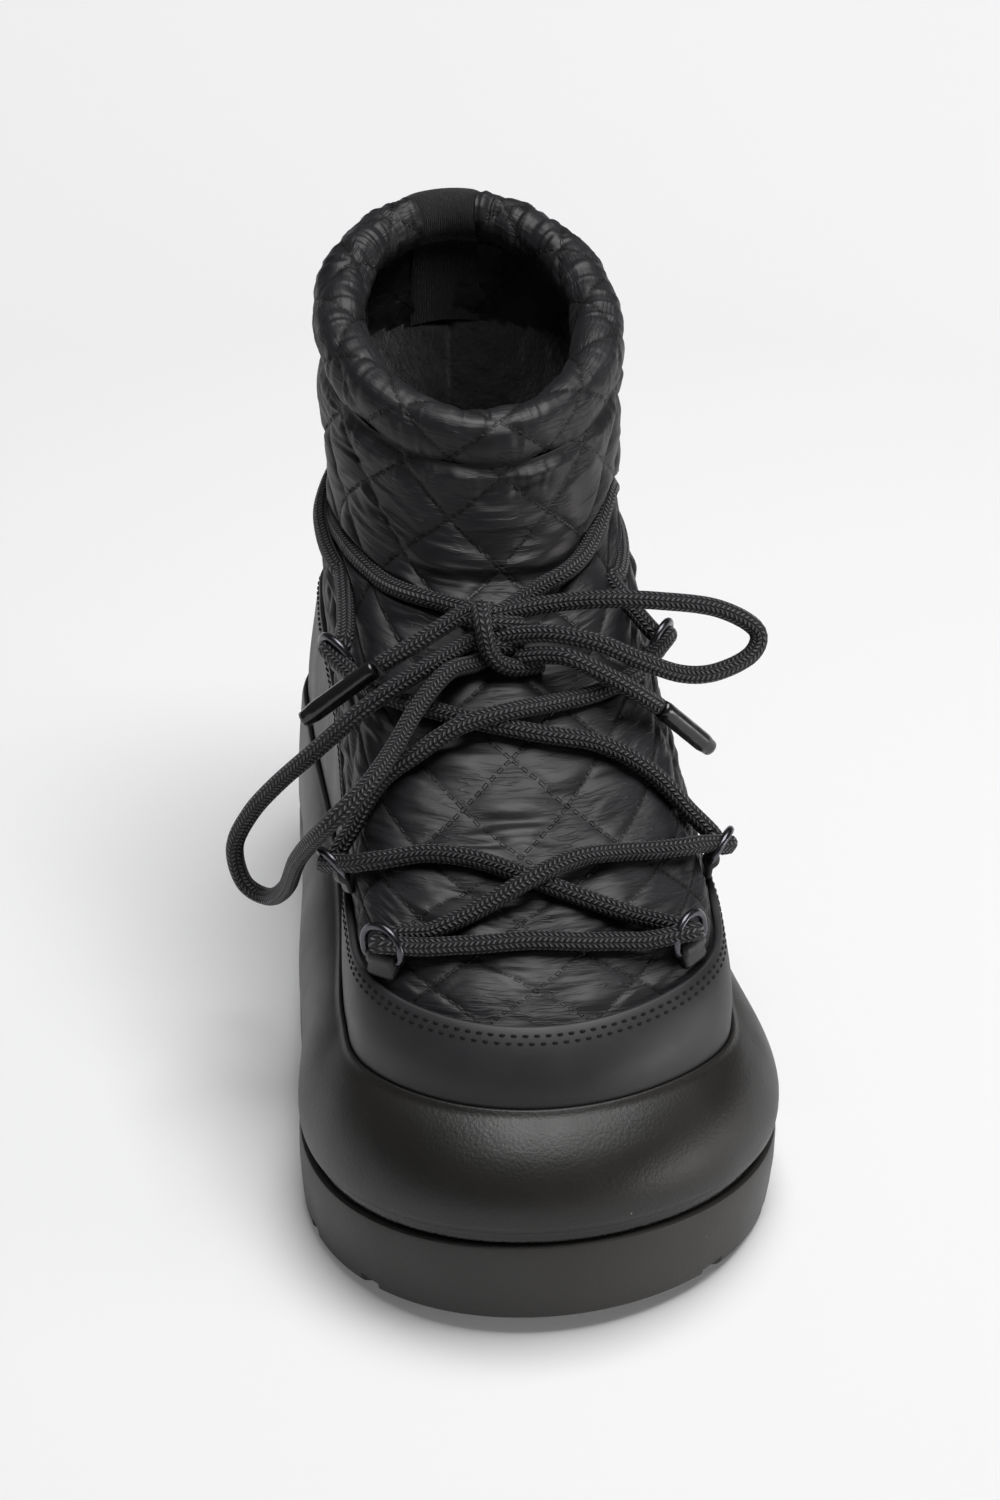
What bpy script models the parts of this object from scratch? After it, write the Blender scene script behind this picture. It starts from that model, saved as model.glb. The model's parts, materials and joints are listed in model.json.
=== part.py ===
"""A left apres-ski boot: lugged outsole, cupped platform midsole, quilted upper, rand, rings and a round lace.

Metres, +Z up. The toe points along -Y and the boot's outer side faces +X. The origin lies on the floor
under the middle of the sole.
"""

import math

import bmesh
import bpy
from mathutils import Matrix, Vector

MM = 0.001
GAP = 0.3 * MM

# Upper's length, and the platform's reach behind its heel and in front of its toe
UPPER_LENGTH = 255 * MM
UPPER_BACK = 13 * MM
UPPER_FRONT = 22 * MM

# Sole
SOLE_LENGTH = UPPER_BACK + UPPER_LENGTH + UPPER_FRONT
SOLE_WIDTH = 129 * MM
OUTSOLE_TOP = 22 * MM
GROOVE_HEIGHT = 4 * MM
GROOVE_DEPTH = 2.6 * MM
OUTSOLE_EDGE = 1.2 * MM
OUTSOLE_DRAFT = 1.5 * MM
TOE_SPRING = 5 * MM
GROOVE_LIFT = 6.5 * MM
HEEL_BEVEL = 2.5 * MM
ARCH_LIFT = 2.5 * MM
LUG_DEPTH = 3 * MM
LUG_SLOT = 5 * MM
LUG_PITCH = 25 * MM
LUG_SLANT = 9 * MM

# Footbed and upper
SEAT_HEIGHT = 38 * MM
LIP_HEIGHT = 52 * MM
UPPER_WIDTH = 99 * MM
UPPER_HEIGHT = 152 * MM
UPPER_WALL = 4 * MM
INSOLE_THICKNESS = 5 * MM
RAND_WALL = 1.6 * MM
RAND_GAP = 0.4 * MM
LIP_THICKNESS = 1.6 * MM

# Collar
ROLL_RADIUS = 7.2 * MM
ROLL_INWARD = 6 * MM
SHAFT_SWING = 0.018
STRIP_THICKNESS = 1.2 * MM
STRIP_UNDER_ROLL = 6.5 * MM
STRIP_TURN = math.radians(15)
STRIP_MIDDLE = math.radians(-4)

# Rings, their tabs, and the lace
WIRE_RADIUS = 1.1 * MM
RING_HALF_WIDTH = 6.5 * MM
RING_DEPTH = 9.5 * MM
RING_TILT = math.radians(30)
TAB_WIDTH = 9 * MM
TAB_LEATHER = 1.0 * MM
TAB_REACH = 4.2 * MM
LACE_RADIUS = 2.5 * MM
LACE_STEP = 7 * MM
AGLET_RADIUS = 2.9 * MM
KNOT_SIZE = (6 * MM, 5.4 * MM, 9 * MM)

# Loops around the boot, and the slices that they are cut into
COLUMNS = 48
RAND_ROWS = 6
SHAFT_ROWS = 10

# The plan of the sole: half an ellipse on each side times these shares, and the swing of its middle line
# towards the inner side as a share of its width. Along runs from the heel, 0, to the toe, 1.
SOLE_PLAN = (
    # along, outer side, inner side, swing
    (0.00, 1.26, 1.26, 0.014),
    (0.05, 1.20, 1.20, 0.014),
    (0.14, 1.05, 1.04, 0.010),
    (0.25, 0.88, 0.87, 0.008),
    (0.38, 0.82, 0.83, 0.004),
    (0.52, 0.88, 0.89, -0.006),
    (0.66, 1.02, 0.99, -0.014),
    (0.79, 1.23, 1.22, -0.018),
    (0.91, 1.36, 1.37, 0.002),
    (1.00, 1.46, 1.48, 0.030),
)

# The plan of the foot inside the upper, in the same way.
FOOT_PLAN = (
    # along, outer side, inner side, swing
    (0.00, 1.42, 1.42, 0.015),
    (0.10, 1.33, 1.33, 0.015),
    (0.20, 1.08, 1.08, 0.013),
    (0.35, 0.90, 0.90, 0.004),
    (0.50, 0.89, 0.87, -0.010),
    (0.65, 1.00, 0.98, -0.020),
    (0.80, 1.25, 1.24, -0.022),
    (0.90, 1.50, 1.50, -0.008),
    (1.00, 1.57, 1.60, 0.025),
)

# Where the lip of the midsole lies over the lip at the ball, as a share of the height of the lip.
LIP_RISE = (
    # along, rise
    (0.00, 0.20),
    (0.25, 0.14),
    (0.50, 0.06),
    (0.72, 0.00),
    (1.00, 0.09),
)

# The outside of the midsole over the groove: how far up to the lip, and how far in from the sole's widest
# outline to the lip.
MIDSOLE_ROWS = (
    # up, in
    (0.00, 0.04),
    (0.08, 0.00),
    (0.30, 0.02),
    (0.52, 0.15),
    (0.72, 0.38),
    (0.89, 0.70),
)

# The upper from its feather edge to the collar. Back and front are shares of the upper's length from its
# heel, heights are shares of its height over the seat, width is a share of its width, and foot says how much
# of the plan of the foot is left: at 0 the loop is an ellipse.
UPPER_ROWS = (
    # back, back height, front, front height, width, foot
    (0.012, 0.002, 0.984, 0.028, 0.94, 1.00),
    (0.003, 0.055, 1.000, 0.084, 0.99, 1.00),
    (0.000, 0.115, 0.998, 0.136, 1.00, 1.00),
    (0.000, 0.175, 0.986, 0.184, 1.00, 1.00),
    (0.001, 0.235, 0.958, 0.235, 0.99, 0.97),
    (0.003, 0.300, 0.898, 0.288, 0.97, 0.92),
    (0.007, 0.370, 0.815, 0.350, 0.95, 0.84),
    (0.011, 0.440, 0.722, 0.418, 0.93, 0.70),
    (0.014, 0.515, 0.622, 0.500, 0.91, 0.50),
    (0.018, 0.595, 0.530, 0.582, 0.87, 0.28),
    (0.020, 0.690, 0.466, 0.645, 0.815, 0.12),
    (0.010, 0.830, 0.435, 0.735, 0.830, 0.03),
    (-0.010, 1.000, 0.413, 0.850, 0.85, 0.00),
)

# The top edge of the rand, as a share of the upper's rows from feather edge to collar.
RAND_EDGE = (
    # along, share of rows
    (0.00, 0.520),
    (0.20, 0.515),
    (0.35, 0.500),
    (0.50, 0.455),
    (0.65, 0.400),
    (0.80, 0.362),
    (0.92, 0.338),
    (1.00, 0.330),
)

# Where each tab comes out over the rand, or out of the quilting at the ankle, and where its ring points.
# Turn is in degrees round the upper from the heel by the outer side, and share goes up its rows. The inner
# side mirrors it.
RINGS = (
    # name, root turn, root share, aim turn, aim share
    ("toe", 146, 0.358, 151, 0.420),
    ("vamp", 125, 0.398, 131, 0.470),
    ("ankle", 123, 0.655, 130, 0.715),
)

# The lace's strands on the upper: turn in degrees, share of the rows, and how far its middle line is outside.
FRONT_BAR = (
    # turn, share, out
    (157, 0.412, 5.0 * MM),
    (166, 0.432, 3.2 * MM),
    (180, 0.445, 3.1 * MM),
    (194, 0.435, 3.2 * MM),
    (204, 0.415, 5.0 * MM),
)
LOW_OVER = (
    (202, 0.440, 3.2 * MM),
    (190, 0.478, 3.6 * MM),
    (179, 0.505, 6.4 * MM),
    (169, 0.522, 6.0 * MM),
    (159, 0.522, 3.4 * MM),
    (148, 0.505, 3.2 * MM),
    (138, 0.482, 4.6 * MM),
)
LOW_UNDER = (
    (154, 0.434, 3.2 * MM),
    (162, 0.464, 3.1 * MM),
    (171, 0.493, 3.1 * MM),
    (180, 0.516, 3.1 * MM),
    (190, 0.532, 3.1 * MM),
    (201, 0.530, 3.1 * MM),
    (212, 0.507, 3.2 * MM),
    (222, 0.478, 4.6 * MM),
)
HIGH_UNDER = (
    (136, 0.520, 3.2 * MM),
    (146, 0.590, 3.1 * MM),
    (157, 0.632, 3.1 * MM),
    (170, 0.652, 3.1 * MM),
    (184, 0.666, 3.1 * MM),
    (198, 0.674, 3.1 * MM),
    (211, 0.676, 3.1 * MM),
    (223, 0.676, 3.4 * MM),
)
HIGH_OVER = (
    (224, 0.520, 3.2 * MM),
    (214, 0.590, 3.2 * MM),
    (203, 0.630, 3.8 * MM),
    (192, 0.657, 6.2 * MM),
    (180, 0.672, 6.2 * MM),
    (168, 0.680, 3.8 * MM),
    (154, 0.680, 3.2 * MM),
    (139, 0.680, 3.6 * MM),
)
WRAP_UNDER = (
    (128, 0.775, 3.2 * MM),
    (108, 0.775, 3.1 * MM),
    (80, 0.765, 3.1 * MM),
    (40, 0.755, 3.1 * MM),
    (0, 0.750, 3.1 * MM),
    (-40, 0.755, 3.1 * MM),
    (-75, 0.778, 3.1 * MM),
    (-104, 0.815, 3.1 * MM),
    (-122, 0.818, 3.1 * MM),
    (-142, 0.810, 3.1 * MM),
    (-164, 0.798, 3.2 * MM),
)
WRAP_OVER = (
    (232, 0.765, 3.2 * MM),
    (246, 0.766, 3.4 * MM),
    (262, 0.775, 6.4 * MM),
    (276, 0.786, 6.8 * MM),
    (291, 0.798, 4.8 * MM),
    (308, 0.805, 3.1 * MM),
    (360, 0.804, 3.1 * MM),
    (410, 0.810, 3.1 * MM),
    (450, 0.836, 3.1 * MM),
    (474, 0.880, 3.1 * MM),
    (488, 0.868, 3.5 * MM),
    (504, 0.846, 3.9 * MM),
    (524, 0.820, 4.0 * MM),
)

# The bow: places across to the outer side, forward of the heel and over the floor, in millimetres.
KNOT_PLACE = (-5.0, 148.5, 133.6)
LOOP_OUTER = (
    # across, forward, height
    (0.9, 145, 137.2),
    (13, 145, 138.5),
    (25, 146, 139.5),
    (39, 146, 138.5),
    (56, 145, 135),
    (67, 146, 128.5),
    (65.5, 149, 122.5),
    (55, 154, 119),
    (41.5, 158, 119.5),
    (29.2, 160, 126.2),
    (17.4, 158, 131.8),
    (1.5, 150.2, 132),
)
END_OUTER = (
    (0.3, 154.4, 126.3),
    (15, 163, 128.8),
    (29.4, 165.4, 119.8),
    (38, 163.5, 114.3),
)
AGLET_OUTER = (
    (38.8, 163.2, 113.6),
    (53.5, 158, 98.5),
)
LOOP_INNER = (
    (-11.4, 150.4, 131.0),
    (-28.3, 161, 126.8),
    (-42.3, 166, 119.8),
    (-55, 163, 106),
    (-66, 156, 91),
    (-73, 151, 79),
    (-77, 148, 67),
    (-74.5, 149, 56),
    (-68, 153, 53.5),
    (-64, 167, 65),
    (-62, 188, 87),
    (-55, 203, 106),
    (-45, 199, 114.5),
    (-36.8, 186, 118),
    (-29, 173, 123.2),
    (-20, 164, 127.8),
    (-10.4, 155.0, 125.6),
)
END_INNER = (
    (-12.3, 145.3, 137.4),
    (-25, 153, 133.5),
    (-38, 156, 127),
)
AGLET_INNER = (
    (-39, 156, 126.3),
    (-58, 153, 109.5),
)


def material(name, colour, roughness, metallic=0.0):
    made = bpy.data.materials.new(name)
    made.use_nodes = True
    shader = made.node_tree.nodes["Principled BSDF"]
    shader.inputs["Base Color"].default_value = (*colour, 1)
    shader.inputs["Roughness"].default_value = roughness
    shader.inputs["Metallic"].default_value = metallic
    return made


def smooth_between(rows, at):
    """The values of a table at a place along its first column, by a smooth curve through its rows."""
    keys = [row[0] for row in rows]
    at = min(max(at, keys[0]), keys[-1])
    k = max(i for i in range(len(rows) - 1) if keys[i] <= at)
    before, start, end, after = (rows[min(max(k + i, 0), len(rows) - 1)] for i in (-1, 0, 1, 2))
    width = end[0] - start[0]
    s = (at - start[0]) / width
    values = []
    for i in range(1, len(start)):
        slope_start = (end[i] - before[i]) / (end[0] - before[0])
        slope_end = (after[i] - start[i]) / (after[0] - start[0])
        values.append(
            (2 * s**3 - 3 * s**2 + 1) * start[i]
            + (s**3 - 2 * s**2 + s) * width * slope_start
            + (3 * s**2 - 2 * s**3) * end[i]
            + (s**3 - s**2) * width * slope_end
        )
    return values


def ease(share):
    share = min(max(share, 0), 1)
    return share * share * (3 - 2 * share)


def along_at(turn):
    """How far towards the toe a loop has come after this turn from the heel: 0 at the heel and 1 at the toe."""
    return (1 - math.cos(turn)) / 2


def plan_point(plan, turn, back, front, half_width, foot=1.0):
    """Across and forward places of a loop's point. The outer side comes first, from the heel to the toe."""
    along = along_at(turn)
    outer, inner, swing = smooth_between(plan, along)
    side = outer if math.sin(turn) >= 0 else inner
    middle = (foot * swing + (1 - foot) * SHAFT_SWING) * 2 * half_width
    return half_width * math.sin(turn) * (1 + foot * (side - 1)) - middle, back + (front - back) * along


def middle_of_plan():
    """Half way between the sole's widest points, which is where the frame has its middle."""
    edge = [plan_point(SOLE_PLAN, 2 * math.pi * i / 720, 0, SOLE_LENGTH, SOLE_WIDTH / 2)[0] for i in range(720)]
    return (min(edge) + max(edge)) / 2


MIDDLE = middle_of_plan()


def place(across, forward, height):
    """A point in the boot's frame, from how far it lies across, forward of the heel and over the floor."""
    return Vector((across - MIDDLE, SOLE_LENGTH / 2 - forward, height))


def turns(count=COLUMNS):
    return [2 * math.pi * i / count for i in range(count)]


def upper_loop_point(turn, share):
    """A point of the upper's outside: turn goes round it, and share goes up its rows from 0 to 1."""
    numbered = [(i / (len(UPPER_ROWS) - 1), *row) for i, row in enumerate(UPPER_ROWS)]
    back, back_height, front, front_height, width, foot = smooth_between(numbered, share)
    across, forward = plan_point(
        FOOT_PLAN,
        turn,
        UPPER_BACK + back * UPPER_LENGTH,
        UPPER_BACK + front * UPPER_LENGTH,
        width * UPPER_WIDTH / 2,
        foot,
    )
    along = along_at(turn)
    height = back_height + (front_height - back_height) * along
    return place(across, forward, SEAT_HEIGHT + GAP + height * UPPER_HEIGHT)


def upper_normal(turn, share):
    step = 0.01
    low, high = max(share - step, 0), min(share + step, 1)
    round_it = upper_loop_point(turn + step, share) - upper_loop_point(turn - step, share)
    up_it = upper_loop_point(turn, high) - upper_loop_point(turn, low)
    return up_it.cross(round_it).normalized()


def upper_point(turn, share, out=0.0):
    """A point this far outside the upper's outer surface."""
    return upper_loop_point(turn, share) + upper_normal(turn, share) * out


def bottom_lift(along):
    """How far the sole's underside clears the floor: under the arch, at the toe and at the back of the heel."""
    toe = TOE_SPRING * ease((along - 0.80) / 0.30) / ease(2 / 3)
    heel = HEEL_BEVEL * ease((0.05 - along) / 0.05)
    arch = ARCH_LIFT * ease((along - 0.30) / 0.10) * ease((0.60 - along) / 0.10)
    return toe + heel + arch


def groove_lift(along):
    return GROOVE_LIFT * ease((along - 0.80) / 0.30) / ease(2 / 3)


def sole_loop(inset, height_at):
    """A loop of the sole's plan, this far inside its widest outline, at a height worked out along it."""
    loop = []
    for turn in turns():
        across, forward = plan_point(SOLE_PLAN, turn, inset, SOLE_LENGTH - inset, SOLE_WIDTH / 2 - inset)
        loop.append(place(across, forward, height_at(along_at(turn))))
    return loop


def lip_height(along):
    return LIP_HEIGHT * (1 + smooth_between(LIP_RISE, along)[0])


class Body:
    """Collects loops of points and the faces between them, and makes one closed mesh object."""

    def __init__(self):
        self.mesh = bmesh.new()

    def loop(self, points):
        return [self.mesh.verts.new(p) for p in points]

    def bridge(self, low, high):
        """Faces between two rings of the same count."""
        for i in range(len(low)):
            k = (i + 1) % len(low)
            self.mesh.faces.new((low[i], low[k], high[k], high[i]))

    def ladder(self, loop, facing_up):
        """Closes a loop of the plan with rungs from its outer side to its inner side."""
        half = len(loop) // 2
        for i in range(half):
            corners = [loop[i], loop[i + 1], loop[-i - 1], loop[-i % len(loop)]]
            unique = list(dict.fromkeys(corners))
            self.mesh.faces.new(unique if facing_up else unique[::-1])

    def finish(self, name, finish):
        bmesh.ops.recalc_face_normals(self.mesh, faces=self.mesh.faces)
        data = bpy.data.meshes.new(name)
        self.mesh.to_mesh(data)
        self.mesh.free()
        data.materials.append(finish)
        made = bpy.data.objects.new(name, data)
        bpy.context.scene.collection.objects.link(made)
        data.shade_smooth()
        data.set_sharp_from_angle(angle=math.radians(40))
        return made


def ring_body(name, finish, loops):
    """A closed body whose loops go round the boot and come back to the first one."""
    body = Body()
    rings = [body.loop(points) for points in loops]
    for low, high in zip(rings, rings[1:] + rings[:1]):
        body.bridge(low, high)
    return body.finish(name, finish)


def build_outsole(finish):
    rows = (
        (OUTSOLE_DRAFT + OUTSOLE_EDGE, lambda a: bottom_lift(a)),
        (OUTSOLE_DRAFT, lambda a: bottom_lift(a) + OUTSOLE_EDGE),
        (OUTSOLE_DRAFT / 4, lambda a: groove_lift(a) + OUTSOLE_TOP * 0.6),
        (OUTSOLE_EDGE / 2, lambda a: groove_lift(a) + OUTSOLE_TOP - OUTSOLE_EDGE),
        (OUTSOLE_EDGE, lambda a: groove_lift(a) + OUTSOLE_TOP),
    )
    body = Body()
    loops = [body.loop(sole_loop(inset, height)) for inset, height in rows]
    for low, high in zip(loops, loops[1:]):
        body.bridge(low, high)
    body.ladder(loops[0], facing_up=False)
    body.ladder(loops[-1], facing_up=True)
    outsole = body.finish("outsole", finish)
    cut_lug_slots(outsole)
    return outsole


def cut_lug_slots(outsole):
    """Slanted slots across the underside, which leave the lugs between them."""
    count = int(SOLE_LENGTH / LUG_PITCH)
    cutters = bmesh.new()
    for i in range(1, count):
        forward = i * SOLE_LENGTH / count
        depth = bottom_lift(forward / SOLE_LENGTH) + LUG_DEPTH
        for side in (-1, 1):
            box = bmesh.ops.create_cube(cutters, size=1)["verts"]
            bmesh.ops.scale(cutters, vec=(SOLE_WIDTH, LUG_SLOT, 2 * depth), verts=box)
            slant = Matrix.Rotation(side * math.atan2(LUG_SLANT, SOLE_WIDTH / 2), 4, "Z")
            shift = Matrix.Translation(place(MIDDLE + side * 0.56 * SOLE_WIDTH, forward, 0))
            bmesh.ops.transform(cutters, matrix=shift @ slant, verts=box)
    data = bpy.data.meshes.new("lug_slots")
    cutters.to_mesh(data)
    cutters.free()
    cutter = bpy.data.objects.new("lug_slots", data)
    bpy.context.scene.collection.objects.link(cutter)
    cutter.hide_render = True
    cutter.display_type = "WIRE"
    cut = outsole.modifiers.new("lug slots", "BOOLEAN")
    cut.operation = "DIFFERENCE"
    cut.solver = "EXACT"
    cut.object = cutter


def build_midsole(finish):
    base = OUTSOLE_TOP + GAP
    cup_out = RAND_GAP + RAND_WALL + GAP
    groove_low = sole_loop(GROOVE_DEPTH, lambda a: groove_lift(a) + base)
    groove_high = sole_loop(GROOVE_DEPTH, lambda a: groove_lift(a) + base + GROOVE_HEIGHT)
    widest = sole_loop(0, lambda a: groove_lift(a) + base + GROOVE_HEIGHT)
    tops = [share_at_height(turn, lip_height(along_at(turn))) for turn in turns()]
    lip = [upper_point(turn, top, cup_out + LIP_THICKNESS) for turn, top in zip(turns(), tops)]
    outside = []
    for up, inward in MIDSOLE_ROWS:
        loop = []
        for low, high in zip(widest, lip):
            point = low.lerp(high, inward)
            point.z = low.z + (high.z - low.z) * up
            loop.append(point)
        outside.append(loop)
    cup = []
    for down in (0.01, 0.25, 0.5, 0.75, 1):
        clear = cup_out if down < 0.1 else cup_out + GAP
        cup.append([upper_point(turn, top + (0.03 - top) * down, clear) for turn, top in zip(turns(), tops)])
    body = Body()
    loops = [body.loop(points) for points in (groove_low, groove_high, *outside, lip, *cup)]
    loops.append(body.loop([seat_point(point, -GAP) for point in cup[-1]]))
    for low, high in zip(loops, loops[1:]):
        body.bridge(low, high)
    body.ladder(loops[0], facing_up=False)
    body.ladder(loops[-1], facing_up=True)
    return body.finish("midsole", finish)


def share_at_height(turn, height):
    """How far up its rows the upper reaches a height on this turn."""
    low, high = 0.0, 1.0
    for _ in range(24):
        middle = (low + high) / 2
        if upper_loop_point(turn, middle).z < height:
            low = middle
        else:
            high = middle
    return low


def row_share(turn, row):
    """The place of a loop of the upper: RAND_ROWS of them up to the rand's edge, then the rest to the collar."""
    edge = smooth_between(RAND_EDGE, along_at(turn))[0]
    if row <= RAND_ROWS:
        return edge * row / RAND_ROWS
    return edge + (1 - edge) * (row - RAND_ROWS) / SHAFT_ROWS


def upper_loop(row, out=0.0):
    return [upper_point(turn, row_share(turn, row), out) for turn in turns()]


def build_upper(finish):
    rows = RAND_ROWS + SHAFT_ROWS
    outer = [upper_loop(row) for row in range(rows + 1)]
    inner = [upper_loop(row, -UPPER_WALL) for row in range(0, rows + 1, 2)]
    inner[0] = [seat_point(point) for point in inner[0]]
    return ring_body("upper", finish, outer + inner[::-1])


def build_rand(finish):
    outer = [upper_loop(row, RAND_GAP + RAND_WALL) for row in range(1, RAND_ROWS + 1)]
    inner = [upper_loop(row, RAND_GAP) for row in range(1, RAND_ROWS + 1)]
    return ring_body("rand", finish, outer + inner[::-1])


def roll_point(turn, angle, radius):
    """A point of the padded roll on the collar. The angle goes from its outer side over its top."""
    out = upper_normal(turn, 1)
    up = (upper_loop_point(turn, 1) - upper_loop_point(turn, 0.98)).normalized()
    centre = upper_point(turn, 1, -ROLL_INWARD) + up * (ROLL_RADIUS + GAP)
    return centre + out * radius * math.cos(angle) + up * radius * math.sin(angle)


def build_collar_roll(finish):
    sides = 10
    loops = []
    for i in range(sides):
        angle = 2 * math.pi * i / sides
        loops.append([roll_point(turn, angle, ROLL_RADIUS) for turn in turns()])
    return ring_body("collar_roll", finish, loops)


def build_back_strip(finish):
    """The strip over the back of the collar, from the outside of the shaft to its lining."""
    rows = 3
    over = []
    for i in range(-rows, rows + 1):
        turn = STRIP_MIDDLE + STRIP_TURN * i / rows
        near, far = [], []
        for out, line in ((GAP, near), (GAP + STRIP_THICKNESS, far)):
            for share in (0.89, 0.94, 0.985):
                line.append(upper_point(turn, share, out))
            for degrees in range(-30, 226, 28):
                line.append(roll_point(turn, math.radians(degrees), ROLL_RADIUS + GAP + out))
            for share, inward in ((0.955, STRIP_UNDER_ROLL), (0.91, 1.2 * MM), (0.84, 0.7 * MM), (0.76, 0.7 * MM)):
                line.append(upper_point(turn, share, -UPPER_WALL - inward - out))
        over.append(near + far[::-1])
    body = Body()
    sections = [body.loop(points) for points in over]
    for low, high in zip(sections, sections[1:]):
        body.bridge(low, high)
    for section in (sections[0], sections[-1]):
        half = len(section) // 2
        for k in range(half - 1):
            body.mesh.faces.new((section[k], section[k + 1], section[-k - 2], section[-k - 1]))
    return body.finish("back_strip", finish)


def seat_point(point, over=0.0):
    """This point moved up or down to the plane of the seat, under the upper's feather edge."""
    heel, toe = upper_loop_point(0, 0), upper_loop_point(math.pi, 0)
    share = (heel.y - point.y) / (heel.y - toe.y)
    return Vector((point.x, point.y, heel.z + (toe.z - heel.z) * share + over))


def build_insole(finish):
    body = Body()
    inside = UPPER_WALL + 1.0 * MM
    low = [seat_point(upper_point(turn, 0, -inside)) for turn in turns()]
    high = [seat_point(upper_point(turn, 0.03, -inside), INSOLE_THICKNESS) for turn in turns()]
    loops = [body.loop(points) for points in (low, high)]
    body.bridge(loops[0], loops[1])
    body.ladder(loops[0], facing_up=False)
    body.ladder(loops[1], facing_up=True)
    return body.finish("insole", finish)


def smooth_path(points, step):
    """Points about this far apart on a smooth curve through the given ones."""
    rows = [(i, *point) for i, point in enumerate(points)]
    fine = [Vector(smooth_between(rows, i / 24)) for i in range(24 * (len(points) - 1) + 1)]
    return even_steps(fine, step)


def strand_path(strand, step):
    """The middle line of a strand of lace that lies on the upper."""
    rows = [(i, *row) for i, row in enumerate(strand)]
    fine = []
    for i in range(12 * (len(strand) - 1) + 1):
        turn, share, out = smooth_between(rows, i / 12)
        fine.append(upper_point(math.radians(turn), share, out))
    return even_steps(fine, step)


def even_steps(fine, step):
    lengths = [0.0]
    for a, b in zip(fine, fine[1:]):
        lengths.append(lengths[-1] + (b - a).length)
    count = max(2, round(lengths[-1] / step))
    path = []
    k = 0
    for i in range(count + 1):
        at = lengths[-1] * i / count
        while k < len(fine) - 2 and lengths[k + 1] < at:
            k += 1
        share = (at - lengths[k]) / (lengths[k + 1] - lengths[k])
        path.append(fine[k].lerp(fine[k + 1], share))
    return path


def tube_mesh(name, path, radius, finish):
    """A closed round bar along a path."""
    sides = 8
    angles = [2 * math.pi * k / sides for k in range(sides)]
    body = Body()
    rings = []
    side = None
    for i, point in enumerate(path):
        ahead = (path[min(i + 1, len(path) - 1)] - path[max(i - 1, 0)]).normalized()
        if side is None:
            side = ahead.orthogonal().normalized()
        side = (side - ahead * side.dot(ahead)).normalized()
        other = ahead.cross(side)
        rings.append(body.loop([point + (side * math.cos(a) + other * math.sin(a)) * radius for a in angles]))
    for low, high in zip(rings, rings[1:]):
        body.bridge(low, high)
    body.mesh.faces.new(rings[0][::-1])
    body.mesh.faces.new(rings[-1])
    return body.finish(name, finish)


def joined_strands(name, under, over, finish):
    """Two strands where one lies across the other, as one solid."""
    low = tube_mesh(name, strand_path(under, LACE_STEP), LACE_RADIUS, finish)
    high = tube_mesh(name + "_over", strand_path(over, LACE_STEP), LACE_RADIUS, finish)
    high.hide_render = True
    high.display_type = "WIRE"
    join = low.modifiers.new("crossing strand", "BOOLEAN")
    join.operation = "UNION"
    join.solver = "EXACT"
    join.object = high
    return low


def cord(name, path, radius, finish, closed=False):
    data = bpy.data.curves.new(name, "CURVE")
    data.dimensions = "3D"
    data.bevel_depth = radius
    data.bevel_resolution = 2
    data.use_fill_caps = not closed
    line = data.splines.new("POLY")
    line.points.add(len(path) - 1)
    for point, at in zip(line.points, path):
        point.co = (*at, 1)
    line.use_cyclic_u = closed
    data.materials.append(finish)
    made = bpy.data.objects.new(name, data)
    bpy.context.scene.collection.objects.link(made)
    return made


def bow_place(across, forward, height):
    return Vector((across * MM, SOLE_LENGTH / 2 - forward * MM, height * MM))


def build_knot(finish):
    """The knot's outer form, leaning with the instep."""
    lean = Matrix.Rotation(math.radians(-35), 3, "X")
    centre = bow_place(*KNOT_PLACE)
    levels, sides = 8, 12
    body = Body()
    rings = []
    for i in range(1, levels):
        tilt = math.pi * i / levels - math.pi / 2
        ring = []
        for k in range(sides):
            a = 2 * math.pi * k / sides
            local = (math.cos(a) * math.cos(tilt), math.sin(a) * math.cos(tilt), math.sin(tilt))
            ring.append(centre + lean @ Vector([v * half for v, half in zip(local, KNOT_SIZE)]))
        rings.append(body.loop(ring))
    for low, high in zip(rings, rings[1:]):
        body.bridge(low, high)
    for ring in (rings[0][::-1], rings[-1]):
        body.mesh.faces.new(ring)
    return body.finish("lace_knot", finish)


def ring_frame(root_turn, root_share, aim_turn, aim_share):
    """Where a tab's root is on the upper, and the directions along it, off the surface and across it."""
    root = upper_point(root_turn, root_share)
    off = upper_normal(root_turn, root_share)
    aim = upper_point(aim_turn, aim_share) - root
    along = (aim - off * aim.dot(off)).normalized()
    return root, along, off, along.cross(off)


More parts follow.
